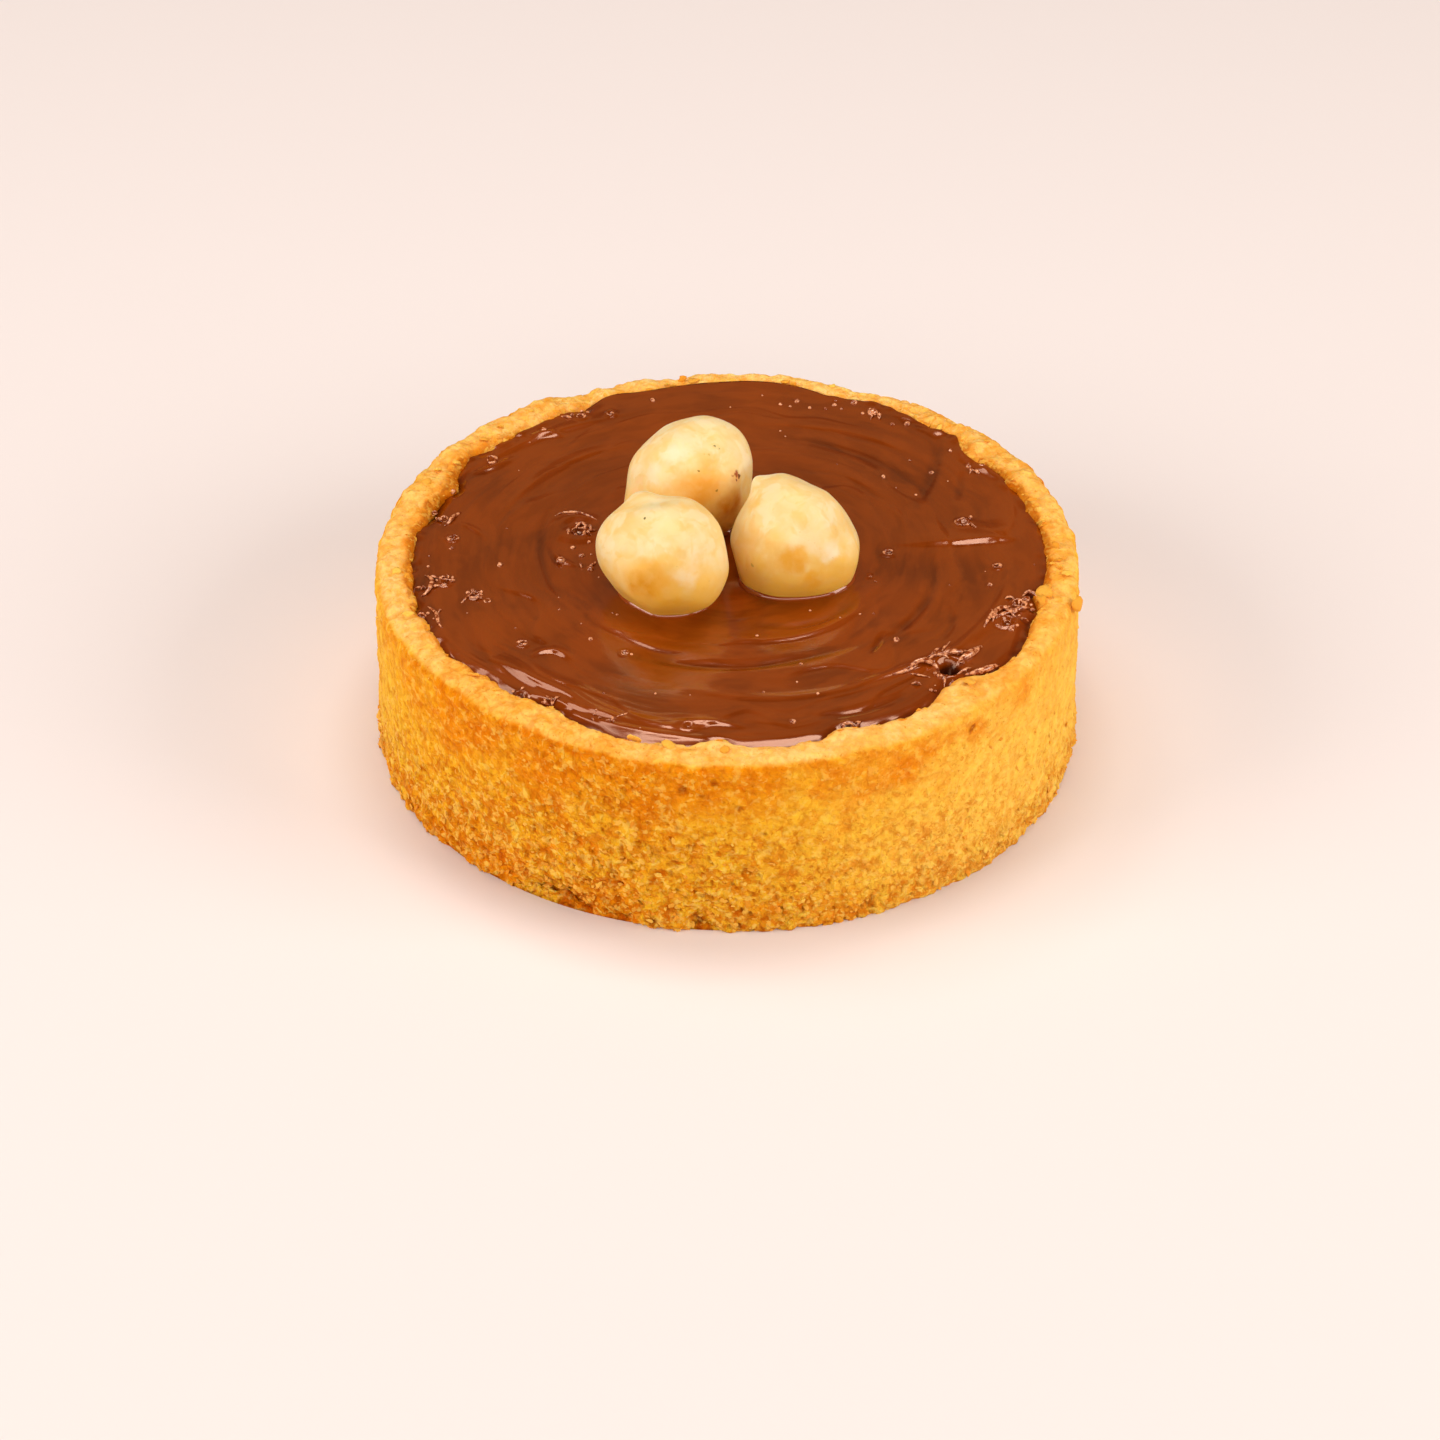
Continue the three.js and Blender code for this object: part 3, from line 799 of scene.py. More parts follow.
# The hazelnuts. A bulge or a mark lies at an angle or a place as seen from in front and above.
nuts = {
    "fineness": 7,
    "lean": 35.3,  # degrees that this way of seeing is above the horizon
    "lump": 0.018,
    "lumpSize": 0.6,
    "facets": 26,
    "facetDepth": 0.5,  # millimetres
    "facetShare": (0.4, 1.0),  # of that depth
    "frayed": 3.2,  # how far the marks' edges wander, in millimetres
    "nudged": 0.5,  # and those of the specks
    "skin": ((238, 200, 122), (238, 214, 156)),
    "facet": (244, 226, 182),
    "cream": (246, 230, 190),
    # golden low down: toasting, and painted light thrown back by the spread
    "lower": (250, 194, 76),
    "mottle": (250, 216, 140),
    # the very bottom: painted light in the underside's shade
    "foot": (255, 192, 60),
    "golden": (244, 190, 84),
    "dust": (190, 150, 80),
    # bulges: at degrees round the nut, width in degrees, share of the radius
    # marks: across and up as shares of the radius, radius in millimetres, strength, colour; some are
    # painted highlights, noted where they stand
    # specks: the same, but small and sharp, and laid over everything else
    "hazelnut_left": {
        "radius": 6.91,
        "seed": 3,
        "bulges": [(312, 42, 0.12), (162, 32, 0.16), (112, 15, 0.135)],
        "marks": [
            (-0.1, 0.45, 4.4, 0.7, (238, 216, 162)),
            (0.5, 0.2, 2.6, 0.7, (240, 215, 164)),
            (-0.2, -0.5, 3.6, 0.85, (244, 178, 60)),
            (-0.24, -0.22, 2.0, 0.7, (240, 180, 72)),
            (-0.5, -0.2, 2.2, 0.5, (242, 188, 88)),
            (0.14, -0.8, 2.4, 0.8, (246, 180, 50)),
            (-0.31, -0.5, 2.1, 0.9, (230, 154, 24)),
            # a painted highlight
            (0.4, -0.3, 2.0, 0.85, (250, 222, 174)),
            (-0.08, 0.14, 1.6, 0.7, (247, 230, 190)),
            (0.52, 0.0, 1.2, 0.5, (248, 226, 188)),
            (0.26, 0.04, 1.1, 0.6, (230, 186, 92)),
        ],
        "specks": [
            (-0.27, 0.6, 0.2, 0.9, (96, 84, 30)),
        ],
    },
    "hazelnut_right": {
        "radius": 7.0,
        "seed": 11,
        "bulges": [
            (112, 26, 0.11), (234, 30, 0.165), (327, 34, 0.14), (42, 34, -0.095), (180, 14, 0.045),
            (124, 8, 0.11),
        ],
        "marks": [
            (0.0, 0.55, 4.4, 0.7, (238, 212, 156)),
            (-0.78, 0.0, 2.4, 0.6, (250, 200, 124)),
            (-0.3, -0.1, 2.4, 0.5, (250, 206, 118)),
            (-0.1, -0.34, 2.2, 0.9, (240, 176, 60)),
            (0.04, -0.38, 2.0, 0.75, (240, 174, 60)),
            (0.28, -0.68, 1.8, 0.85, (238, 168, 48)),
            (0.22, -0.48, 1.1, 0.7, (248, 212, 140)),
            (0.02, 0.02, 1.8, 0.7, (246, 226, 178)),
            (0.78, 0.0, 1.8, 0.5, (242, 208, 122)),
            # a painted highlight
            (0.6, -0.2, 1.7, 0.9, (250, 230, 192)),
            (0.32, 0.0, 2.0, 0.8, (246, 220, 170)),
            (-0.5, -0.68, 1.5, 0.7, (244, 204, 124)),
            (-0.76, -0.66, 1.3, 0.7, (222, 152, 60)),
        ],
        "specks": [
            (-0.69, -0.41, 0.24, 0.6, (176, 150, 70)),
        ],
    },
    "hazelnut_back": {
        "radius": 7.11,
        "seed": 23,
        "bulges": [(48, 34, 0.146), (222, 34, 0.26), (132, 38, -0.02), (78, 12, 0.034)],
        "marks": [
            # a painted highlight
            (-0.1, 0.6, 3.0, 0.8, (240, 220, 174)),
            (-0.2, 0.42, 1.8, 0.8, (247, 232, 196)),
            (-0.56, 0.12, 1.8, 0.8, (246, 226, 188)),
            (-0.84, -0.1, 1.6, 0.7, (248, 198, 150)),
            (0.3, 0.02, 2.9, 0.85, (242, 174, 76)),
            (0.16, -0.2, 3.0, 0.9, (238, 164, 52)),
            (0.7, -0.36, 2.6, 0.95, (222, 142, 20)),
            (-0.2, -0.1, 2.0, 0.6, (242, 186, 98)),
            (0.72, 0.1, 1.1, 0.5, (228, 150, 84)),
        ],
        "specks": [
            (0.75, 0.12, 0.5, 0.9, (160, 54, 12)),
            (0.69, 0.09, 0.28, 0.9, (176, 70, 20)),
            (0.79, 0.18, 0.26, 0.9, (110, 22, 4)),
            (0.8, 0.08, 0.34, 0.95, (104, 18, 4)),
            (0.76, 0.02, 0.24, 0.9, (130, 36, 6)),
            (0.71, 0.18, 0.2, 0.8, (150, 60, 14)),
            (0.43, 0.7, 0.14, 0.8, (110, 104, 60)),
            (0.43, 0.56, 0.18, 0.8, (96, 88, 40)),
            (0.5, 0.51, 0.14, 0.6, (150, 140, 90)),
            (0.17, 0.16, 0.16, 0.8, (130, 96, 30)),
            (0.47, -0.15, 0.16, 0.7, (150, 96, 20)),
            (0.34, 0.42, 0.16, 0.5, (196, 160, 60)),
            (0.27, 0.43, 0.12, 0.5, (196, 160, 60)),
        ],
    },
}


def seenWay(across, up, towards=0.0):
    # A way given as seen from in front and above, turned to the tart's own axes.
    lean = math.radians(nuts["lean"])
    sine, cosine = math.sin(lean), math.cos(lean)
    return Vector((across, up * sine - towards * cosine, up * cosine + towards * sine))


def makeNut(node, shape, material):
    random.seed(shape["seed"])
    radius = shape["radius"]
    bulges = []
    for at, width, by in shape["bulges"]:
        turn = math.radians(at)
        bulges.append((seenWay(math.cos(turn), math.sin(turn)), math.radians(width), by))
    pared = []
    for _ in range(nuts["facets"]):
        way = Vector((random.gauss(0, 1), random.gauss(0, 1), random.gauss(0, 1))).normalized()
        pared.append((way, random.uniform(*nuts["facetShare"]) * nuts["facetDepth"] / radius))
    bm = bmesh.new()
    bmesh.ops.create_icosphere(bm, subdivisions=nuts["fineness"], radius=1.0)
    for vert in bm.verts:
        point = vert.co.normalized()
        swell = 1 + nuts["lump"] * grain(point, nuts["lumpSize"], shape["seed"])
        for way, width, by in bulges:
            swell += by * bell(math.acos(max(-1.0, min(1.0, point.dot(way)))), width)
        for way, depth in pared:
            past = point.dot(way) - (1 - depth)
            swell -= 0.8 * (past if past > depth else max(0.0, past + depth) ** 2 / (4 * depth))
        vert.co = point * swell * radius
    low, high = boxOf(node)
    reach = [[vert.co[axis] for vert in bm.verts] for axis in range(3)]
    middle = Vector([(max(values) + min(values)) / 2 for values in reach])
    place = (low + high) / 2 - middle
    bmesh.ops.translate(bm, vec=place, verts=bm.verts)
    outline = outlineAt(bm, place, fillLevel)
    finishPiece(bm, node.replace("hazelnut", "kernel"), material, "hazelnut", node)
    return place, outline


def outlineAt(bm, middle, level, parts=60):
    # How far a nut reaches at a level, all round its middle.
    reach = [[] for _ in range(parts)]
    for vert in bm.verts:
        if abs(vert.co.z - level) < 0.12:
            x, y = vert.co.x - middle.x, vert.co.y - middle.y
            reach[int(angleAt(x, y) / 360 * parts) % parts].append(math.hypot(x, y))
    return [sum(values) / len(values) for values in reach]


def nutMaterial(node, shape):
    low, high = boxOf(node)
    centre = (low + high) / 2
    radius = shape["radius"]
    material, tree, shader = newMaterial(node.replace("hazelnut", "kernel"))
    place = millimetres(tree)
    shifted = millimetres(tree, shift=(shape["seed"] * 7.0, shape["seed"] * 3.0, 0))
    frayed = frayedBy(tree, place, noiseOf(tree, shifted, 2.0, 4.0, output="Color"), nuts["frayed"])
    nudged = frayedBy(tree, place, noiseOf(tree, place, 0.4, output="Color"), nuts["nudged"])
    upwards = vectorMath(tree, "DOT_PRODUCT", frayed, seenWay(0, 1), output="Value")
    level = centre.dot(seenWay(0, 1))

    def patches(grains, start, end, most):  # grains: size, detail, roughness, distortion of the noise
        return stepOf(tree, noiseOf(tree, shifted, *grains), start, end, 0.0, most)

    def below(start, end, most):  # from one share of the radius down to another
        return stepOf(tree, upwards, level + start * radius, level + end * radius, 0.0, most)

    def marks(kind, source, sharpness):
        found = []
        for across, up, size, strength, tint in shape[kind]:
            towards = math.sqrt(max(0.0, 1 - across * across - up * up))
            spot = centre + seenWay(across, up, towards) * radius
            away = vectorMath(tree, "DISTANCE", source, spot, output="Value")
            found.append((stepOf(tree, away, 1.1 * size, sharpness * size, 0.0, strength), tint))
        return found

    facets = addNode(tree, "TexVoronoi", {"Vector": frayed, "Scale": 1 / 3.6})
    plane = addNode(tree, "SeparateColor", {"Color": facets.outputs["Color"]})
    body = layered(
        tree,
        between(tree, patches((3.4, 2.0, 0.5, 0.6), 0.38, 0.66, 1.0), nuts["skin"]),
        (stepOf(tree, plane.outputs["Red"], 0.2, 0.9, 0.0, 0.2), nuts["facet"]),
        (patches((2.8, 3.0, 0.5, 0.4), 0.5, 0.62, 0.5), nuts["cream"]),
        # Golden low down: the kernel's toasting, and painted light thrown back by the spread.
        (below(0.25, -0.6, 0.8), nuts["lower"]),
        *marks("marks", frayed, 0.2),
        (patches((1.5, 3.0, 0.55, 0.3), 0.42, 0.7, 0.2), nuts["mottle"]),
        # Brighter and golden at the very bottom: painted light where the underside lies in shade, and
        # painted light thrown back by the spread.
        (below(-0.45, -0.9, 0.75), nuts["foot"]),
        (patches((2.2, 3.0, 0.5, 0.5), 0.54, 0.66, 0.35), nuts["golden"]),
        (patches((0.42, 2.0), 0.72, 0.77, 0.3), nuts["dust"]),
        *marks("specks", nudged, 0.6),
    )
    setInputs(tree, shader, {
        "Base Color": body,
        "Roughness": 0.42,
        "Specular IOR Level": 0.3,
        "Specular Tint": (1.0, 0.92, 0.6, 1),
        "Subsurface Weight": 0.5,
        "Subsurface Radius": (1.0, 0.65, 0.3),
        "Subsurface Scale": 1.1 * mm,
        "Normal": bumpOf(tree, noiseOf(tree, shifted, 1.1, 3.0, 0.55), 0.35, 0.16),
    })
    return material


# The filling.
filling = {
    "drop": 0.6,  # below the rim's mean top
    "gridSide": 296,
    "intoCase": 0.25,  # its edge reaches this far into the case
    "floorFillet": 2.4,
    "edgeDrop": 0.16,  # how far the edge rolls down to the case
    # and how much more or less: at degrees, width in degrees, millimetres
    "edgeDrops": [
        (90, 40, -0.2), (145, 28, -0.4), (32, 26, -0.4), (186, 22, 0.25), (154, 4, 0.8), (164, 4, 0.9),
        (352, 16, 0.15), (332, 16, 0.25), (232, 22, 0.3), (282, 34, 0.32), (118, 4, 0.5),
    ],
    "edgeRollWidth": 1.7,
    # where the edge is ragged: at degrees, width in degrees, share
    "raggedEdge": [
        (180, 34, 1.0), (214, 14, 1.0), (325, 22, 1.0), (0, 20, 0.7), (50, 26, 0.9), (140, 18, 0.9),
    ],
    "raggedDepth": 0.35,
    # Strokes of the knife: four points of a curve, height, how far it spreads to the left and to the
    # right as one goes along it, and where on the way it is highest.
    "strokes": [
        ((12.8, 3.1), (20.0, 2.9), (27.0, 3.2), (33.4, 4.4), 0.4, 3.0, 0.64, 0.78),
        ((31.4, 4.4), (33.6, 8.5), (33.2, 14.0), (29.5, 20.5), 0.35, 2.2, 0.5, 0.3),
        ((24.6, 27.0), (24.6, 20.0), (23.8, 15.5), (21.0, 9.8), -0.3, 0.7, 0.9, 0.5),
        ((27.2, 18.0), (27.0, 16.0), (26.8, 14.0), (26.4, 11.6), -0.2, 0.5, 0.5, 0.5),
        ((-25.8, -19.2), (-22.2, -23.6), (-16.2, -26.6), (-11.2, -31.4), 0.45, 1.5, 0.8, 0.4),
        ((-21.6, -25.6), (-17.0, -28.9), (-11.0, -31.6), (-3.0, -33.6), 0.36, 0.9, 0.65, 0.4),
        ((-19.4, -28.4), (-14.0, -32.0), (-8.0, -34.0), (0.0, -34.9), 0.3, 0.7, 0.6, 0.5),
        ((-30.0, -7.6), (-29.2, -14.0), (-27.6, -20.0), (-23.8, -24.4), -0.16, 0.5, 0.9, 0.5),
        ((-27.0, -11.5), (-27.2, -16.0), (-26.2, -20.0), (-24.2, -23.6), 0.1, 0.6, 0.5, 0.5),
        ((-21.9, -19.6), (-20.6, -17.4), (-18.4, -17.6), (-16.8, -20.4), 0.26, 0.7, 0.35, 0.45),
        ((-33.6, 8.5), (-34.8, 2.0), (-34.6, -5.0), (-32.8, -12.5), -0.25, 0.6, 0.5, 0.5),
        ((-30.3, 17.6), (-24.6, 24.2), (-18.0, 28.2), (-10.0, 30.9), 0.26, 1.3, 0.6, 0.5),
        ((-26.4, 7.8), (-23.5, 16.0), (-18.0, 21.5), (-11.0, 24.0), 0.22, 1.1, 0.5, 0.5),
        ((-19.4, 12.2), (-22.2, 6.0), (-22.0, -1.0), (-17.6, -10.4), -0.24, 0.5, 0.5, 0.5),
        ((2.0, 28.4), (11.0, 28.4), (18.5, 25.5), (23.2, 20.2), 0.14, 1.2, 0.6, 0.5),
        ((5.0, 25.0), (13.0, 24.2), (20.0, 19.5), (22.2, 13.2), -0.12, 0.6, 0.9, 0.5),
        ((9.0, 18.5), (14.0, 18.5), (18.5, 14.0), (19.5, 8.0), 0.1, 1.1, 0.5, 0.5),
        ((32.3, -1.2), (31.6, -9.0), (28.0, -16.0), (21.0, -22.0), 0.32, 1.1, 0.5, 0.5),
        ((23.4, 1.2), (24.2, -7.0), (20.6, -13.5), (15.0, -18.8), -0.24, 0.7, 0.5, 0.5),
        ((-13.2, -16.5), (-6.0, -22.6), (6.0, -23.2), (18.0, -14.4), -0.24, 1.1, 0.6, 0.5),
        ((-1.0, -15.4), (5.0, -17.6), (12.5, -15.0), (16.8, -7.0), 0.22, 1.0, 0.45, 0.5),
        ((-6.0, -24.6), (3.0, -28.6), (12.0, -27.8), (20.4, -20.2), 0.14, 0.8, 0.5, 0.5),
        ((2.6, -12.6), (7.0, -14.4), (11.5, -12.8), (14.8, -8.2), -0.2, 0.7, 0.5, 0.5),
        ((-17.0, -8.0), (-14.0, -15.0), (-8.0, -18.6), (-1.0, -18.6), 0.12, 1.0, 0.5, 0.5),
        ((13.6, -24.6), (18.0, -22.8), (22.0, -20.4), (27.6, -17.2), 0.34, 0.8, 0.4, 0.6),
        ((-7.2, -32.8), (-4.2, -31.0), (-1.2, -31.0), (2.4, -32.6), 0.24, 0.6, 0.3, 0.5),
        ((15.8, -18.6), (16.5, -17.0), (16.9, -16.0), (17.6, -14.4), -0.28, 0.35, 0.35, 0.5),
        ((8.0, -30.4), (13.0, -30.6), (17.0, -28.6), (20.0, -25.8), -0.2, 0.5, 0.6, 0.5),
        ((-20.0, 1.6), (-19.4, 0.2), (-18.4, -1.0), (-16.8, -1.6), 0.2, 0.3, 0.3, 0.5),
        ((-20.6, 3.6), (-20.2, 1.2), (-19.6, -0.6), (-18.2, -2.6), -0.2, 0.3, 0.3, 0.5),
        ((-31.0, 7.4), (-29.4, 6.4), (-28.2, 5.6), (-27.6, 3.6), 0.14, 0.4, 0.3, 0.5),
        ((-13.0, -13.6), (-11.4, -14.8), (-9.6, -15.6), (-7.0, -15.2), 0.14, 0.4, 0.3, 0.5),
        ((-23.4, 24.6), (-22.0, 26.0), (-20.6, 26.0), (-18.8, 25.2), 0.28, 0.35, 0.55, 0.5),
        ((-29.8, 17.4), (-28.4, 18.0), (-26.6, 19.0), (-24.6, 21.2), 0.3, 0.4, 0.55, 0.5),
        ((18.4, 10.8), (19.8, 9.2), (20.4, 7.4), (20.2, 5.0), 0.14, 0.5, 0.4, 0.5),
        ((24.8, -9.4), (25.6, -11.6), (25.2, -13.8), (23.6, -16.2), -0.16, 0.4, 0.4, 0.5),
    ],
    "strokeTones": (0.35, 0.3, 0.28),  # painted shade in a furrow, painted light on a ridge, painted shade beside a ridge's steep side
    # the knife's rings: spacing, height, share that falls
    "sweeps": [(2.1, 0.05, 0.16), (6.3, 0.14, 0.1)],
    "swell": 0.12,  # of the whole top, a broad one
    # fine parallel lines near the edge: at degrees, width in degrees, strength
    "combed": [(245, 30, 1.0), (165, 20, 0.5), (35, 20, 0.4)],
    "combWidth": 0.5,
    "combHeight": 0.08,
    # burst bubbles and tears: x, y, radius, depth, height of the lip
    "craters": [
        (24.6, -21.2, 1.7, 2.2, 0.3), (-17.0, 5.6, 1.2, 0.5, 0.16), (-17.0, 6.2, 2.3, 0.12, 0.16),
        (31.2, -12.6, 1.0, 0.5, 0.3), (32.6, -9.4, 0.9, 0.5, 0.3), (-28.4, -7.3, 0.7, 0.35, 0.18),
        (-31.9, -4.7, 0.7, 0.35, 0.2), (-31.5, 4.0, 0.6, 0.25, 0.16), (-22.8, -16.7, 0.6, 0.25, 0.14),
        (-11.4, -18.4, 0.5, 0.25, 0.14), (27.0, 7.2, 0.8, 0.25, 0.14), (18.3, 1.1, 0.6, 0.25, 0.16),
        (30.6, -1.7, 0.5, 0.25, 0.16), (-4.3, -32.4, 0.6, 0.2, 0.14), (13.2, -32.2, 0.8, 0.5, 0.2),
        (-13.8, 30.1, 0.6, 0.2, 0.2), (-17.2, 29.6, 0.8, 0.2, 0.2), (-18.8, -30.0, 0.7, 0.4, 0.2),
        (-22.6, -26.4, 0.7, 0.4, 0.2), (16.1, -3.3, 0.4, 0.2, 0.12),
    ],
    "meniscus": 0.3,  # how far the filling climbs a nut
    "meniscusWidth": 0.5,
    "ground": ((88, 29, 0), (122, 47, 0)),  # dark and light by the tone: at random, and by painted light and shade along the knife's relief
    "smear": (146, 62, 8),
    "streak": (146, 60, 2),
    # lighter on raised relief: painted light
    "ridge": (146, 62, 2),
    # darker in low relief, craters and the rolled edge: painted shade
    "hollow": (52, 14, 2),
}
fillLevel = rimHeight - filling["drop"]


def knifeStrokes(steps=30):
    # Each stroke as points along its curve, with a tree that finds the nearest one.
    strokes = []
    for *corners, height, left, right, peak in filling["strokes"]:
        points = interpolate_bezier(*[Vector((*corner, 0)) for corner in corners], steps)
        tree = kdtree.KDTree(steps)
        for index, point in enumerate(points):
            tree.insert(point, index)
        tree.balance()
        margin = 2.2 * max(left, right)
        reach = []
        for axis in (0, 1):
            along = [point[axis] for point in points]
            reach.append((min(along) - margin, max(along) + margin))
        strokes.append((points, tree, reach, height, left, right, math.log(0.5) / math.log(peak)))
    return strokes


def strokeRelief(strokes, x, y):
    # Height of the strokes at a place, and how much painted shade or light they lay on it.
    furrowShade, ridge, besideShade = filling["strokeTones"]
    height = 0.0
    toneAndShade = 0.0
    for points, tree, ((lowX, highX), (lowY, highY)), rise, left, right, skew in strokes:
        if not (lowX < x < highX and lowY < y < highY):
            continue
        here = Vector((x, y, 0))
        nearest, index, _ = tree.find(here)
        other = points[index + 1] if index + 1 < len(points) else nearest * 2 - points[index - 1]
        way = other - nearest
        offset = here - nearest
        along = (index + offset.dot(way) / way.length_squared) / (len(points) - 1)
        if 0 < along < 1:
            aside = (way.x * offset.y - way.y * offset.x) / way.length
            fade = math.sin(math.pi * along ** skew)
            height += rise * fade * bell(aside, left if aside > 0 else right)
            # a furrow gets painted shade, a ridge painted light on its crest and painted shade beyond its
            # steep side
            if rise < 0:
                toneAndShade -= furrowShade * fade * plateau(aside, 0.5 * (left + right))
            else:
                shade = besideShade * plateau(aside + 1.2 * right, 0.7 * right)
                toneAndShade += fade * (ridge * bell(aside, left) - shade)
    return height, toneAndShade


def flatGrain(x, y, size, layer):  # noise over the filling's top, about -1 to 1
    return noise.noise(Vector((x / size, y / size, layer)))


def craterRelief(x, y):
    total = 0.0
    for atX, atY, size, depth, lip in filling["craters"]:
        away = math.hypot(x - atX, y - atY)
        if away < 3 * size:
            ragged = size * (1 + 0.25 * flatGrain(x, y, size, 7.0))
            total += lip * bell(away - ragged, 0.3 * size) - depth * bell(away, 0.62 * ragged)
    return total


def laneAt(x, y):
    # The knife's fine rings run along lines on which this stays the same.
    wander = 2.2 * flatGrain(x, y, 15, 5.0) + 0.7 * flatGrain(x, y, 5, 8.0)
    return math.hypot(x, y) + wander


def sweepRelief(x, y, lane):
    # Rings of the knife: each rises slowly outwards and falls off quickly, and comes and goes.
    turn = math.radians(angleAt(x, y))
    total = filling["swell"] * flatGrain(x, y, 9, 2.0)
    combed = noise.noise(Vector((lane / filling["combWidth"], x / 7, y / 7)))
    where = sumOfBells(filling["combed"], math.degrees(turn))
    total += filling["combHeight"] * combed * where * ease(lane, 27, 32)
    toneAndShade = 0.5 + 0.5 * flatGrain(x, y, 8, 4.0)
    for spacing, height, fall in filling["sweeps"]:
        phase = lane / spacing + 0.6 * flatGrain(x, y, 7, spacing)
        ring = math.floor(phase)
        saw = min((phase - ring) / (1 - fall), (1 - phase + ring) / fall)
        own = Vector((ring * 3.7 + spacing, 1.6 * math.cos(turn), 1.6 * math.sin(turn)))
        shown = ease(noise.noise(own), -0.15, 0.4)
        total += height * saw * shown
        # The tone follows each ring's height: painted light on its higher part, painted shade on its lower
        # part.
        toneAndShade += 0.12 * spacing ** 0.5 * (saw - 0.5) * shown
    return total, toneAndShade


def reachAt(outline, angle):
    # How far a nut reaches at an angle round its middle.
    position = angle / 360 * len(outline) - 0.5
    first = math.floor(position)
    share = position - first
    return outline[first % len(outline)] * (1 - share) + outline[(first + 1) % len(outline)] * share


def meniscusRelief(x, y, settled):
    # The filling climbs a little against each nut.
    total = 0.0
    for middle, outline in settled:
        offX, offY = x - middle.x, y - middle.y
        away = math.hypot(offX, offY)
        if away < 11:
            fromNut = max(0.0, away - reachAt(outline, angleAt(offX, offY)))
            total += filling["meniscus"] * math.exp(-fromNut / filling["meniscusWidth"])
    return total


def fillHeight(x, y, strokes, settled):
    # How high the filling stands, and its tone: at random, and with painted light and shade along the
    # knife's relief.
    swept, sweptTone = sweepRelief(x, y, laneAt(x, y))
    stroked, strokedTone = strokeRelief(strokes, x, y)
    height = fillLevel + swept + stroked + craterRelief(x, y) + meniscusRelief(x, y, settled)
    return height, sweptTone + strokedTone


def makeFilling(material, strokes, settled):
    bm = bmesh.new()
    side = filling["gridSide"]
    bmesh.ops.create_grid(bm, x_segments=side, y_segments=side, size=1.0)
    layers = {name: bm.verts.layers.float.new(name) for name in ("relief", "lane", "toneAndShade")}
    edgeRadius = innerRadius + filling["intoCase"]
    for vert in bm.verts:  # the square grid is drawn out to a round one
        x, y, _ = vert.co
        spread = (math.sqrt(1 - y * y / 2), math.sqrt(1 - x * x / 2))
        vert.co = Vector((x * spread[0], y * spread[1], 0)) * edgeRadius
    outline = [edge for edge in bm.edges if edge.is_boundary]
    for vert in bm.verts:
        x, y = vert.co.x, vert.co.y
        angle = angleAt(x, y)
        radius = math.hypot(x, y)
        fromEdge = edgeRadius - radius
        fit = (radius / edgeRadius) ** 3 * wallInset(angle, fillLevel) / max(radius, 0.01)
        x, y = x * (1 - fit), y * (1 - fit)
        height, toneAndShade = fillHeight(x, y, strokes, settled)
        nearEdge = 1 - ease(fromEdge, 0, filling["edgeRollWidth"])
        drop = filling["edgeDrop"] + sumOfBells(filling["edgeDrops"], angle)
        ragged = filling["raggedDepth"] * sumOfBells(filling["raggedEdge"], angle)
        height += nearEdge * (ragged * grain(Vector((x, y, 0)), 1.6, 6.6) - drop)
        for name, value in zip(layers, (height - fillLevel, laneAt(x, y), toneAndShade)):
            vert[layers[name]] = value
        vert.co = Vector((x, y, height))
    # Down the side and across underneath, as deep as the case is.
    bottom = boxOf("chocolate_filling")[0].z
    fillet = filling["floorFillet"]
    lower = (
        (edgeRadius, bottom + fillet),
        (edgeRadius - 0.3 * fillet, bottom + 0.3 * fillet),
        (edgeRadius - fillet, bottom),
        (1.0, bottom),
    )
    for radius, height in lower:
        verts, outline = extrudeLoop(bm, outline)
        for vert in verts:
            vert.co = inPlan(vert.co).normalized() * radius
            vert.co.z = height
    bmesh.ops.contextual_create(bm, geom=outline)
    bmesh.ops.recalc_face_normals(bm, faces=bm.faces)
    finishPiece(bm, "smoothed_filling", material, "chocolate", "chocolate_filling")


def chocolateMaterial():
    material, tree, shader = newMaterial("chocolate_spread")
    relief, lane, toneAndShade = [attributeOf(tree, name) for name in ("relief", "lane", "toneAndShade")]
    apart = addNode(tree, "SeparateXYZ", {"Vector": millimetres(tree)})

    def streaks(width, length):  # noise that is drawn out along the knife's way
        inputs = {
            "X": times(tree, lane, 1 / width),
            "Y": times(tree, apart.outputs["X"], 1 / length),
            "Z": times(tree, apart.outputs["Y"], 1 / length),
        }
        return noiseOf(tree, addNode(tree, "CombineXYZ", inputs).outputs["Vector"], 1.0, 2.0, 0.55)

    narrow = stepOf(tree, streaks(1.1, 8.0), 0.35, 0.65)
    body = layered(
        tree,
        between(tree, stepOf(tree, toneAndShade, 0.0, 0.8), filling["ground"]),
        (stepOf(tree, streaks(2.6, 5.0), 0.42, 0.6, 0.0, 0.35), filling["smear"]),
        (times(tree, narrow, 0.22), filling["streak"]),
        # lighter where the relief stands high, painted light, and darker where it lies low, painted shade
        (times(tree, stepOf(tree, relief, -0.3, 0.4), 0.35), filling["ridge"]),
        (stepOf(tree, relief, -0.15, -0.8, 0.0, 0.9), filling["hollow"]),
    )
    setInputs(tree, shader, {
        "Base Color": body,
        "Roughness": stepOf(tree, narrow, 0.0, 1.0, 0.1, 0.18),
        "Specular IOR Level": 0.95,
        "Specular Tint": (1.0, 0.68, 0.5, 1),
        "Subsurface Weight": 0.04,
        "Subsurface Radius": (1.0, 0.35, 0.15),
        "Subsurface Scale": 0.5 * mm,
        "Normal": bumpOf(tree, streaks(0.6, 6.0), 0.12, 0.09),
    })
    return material


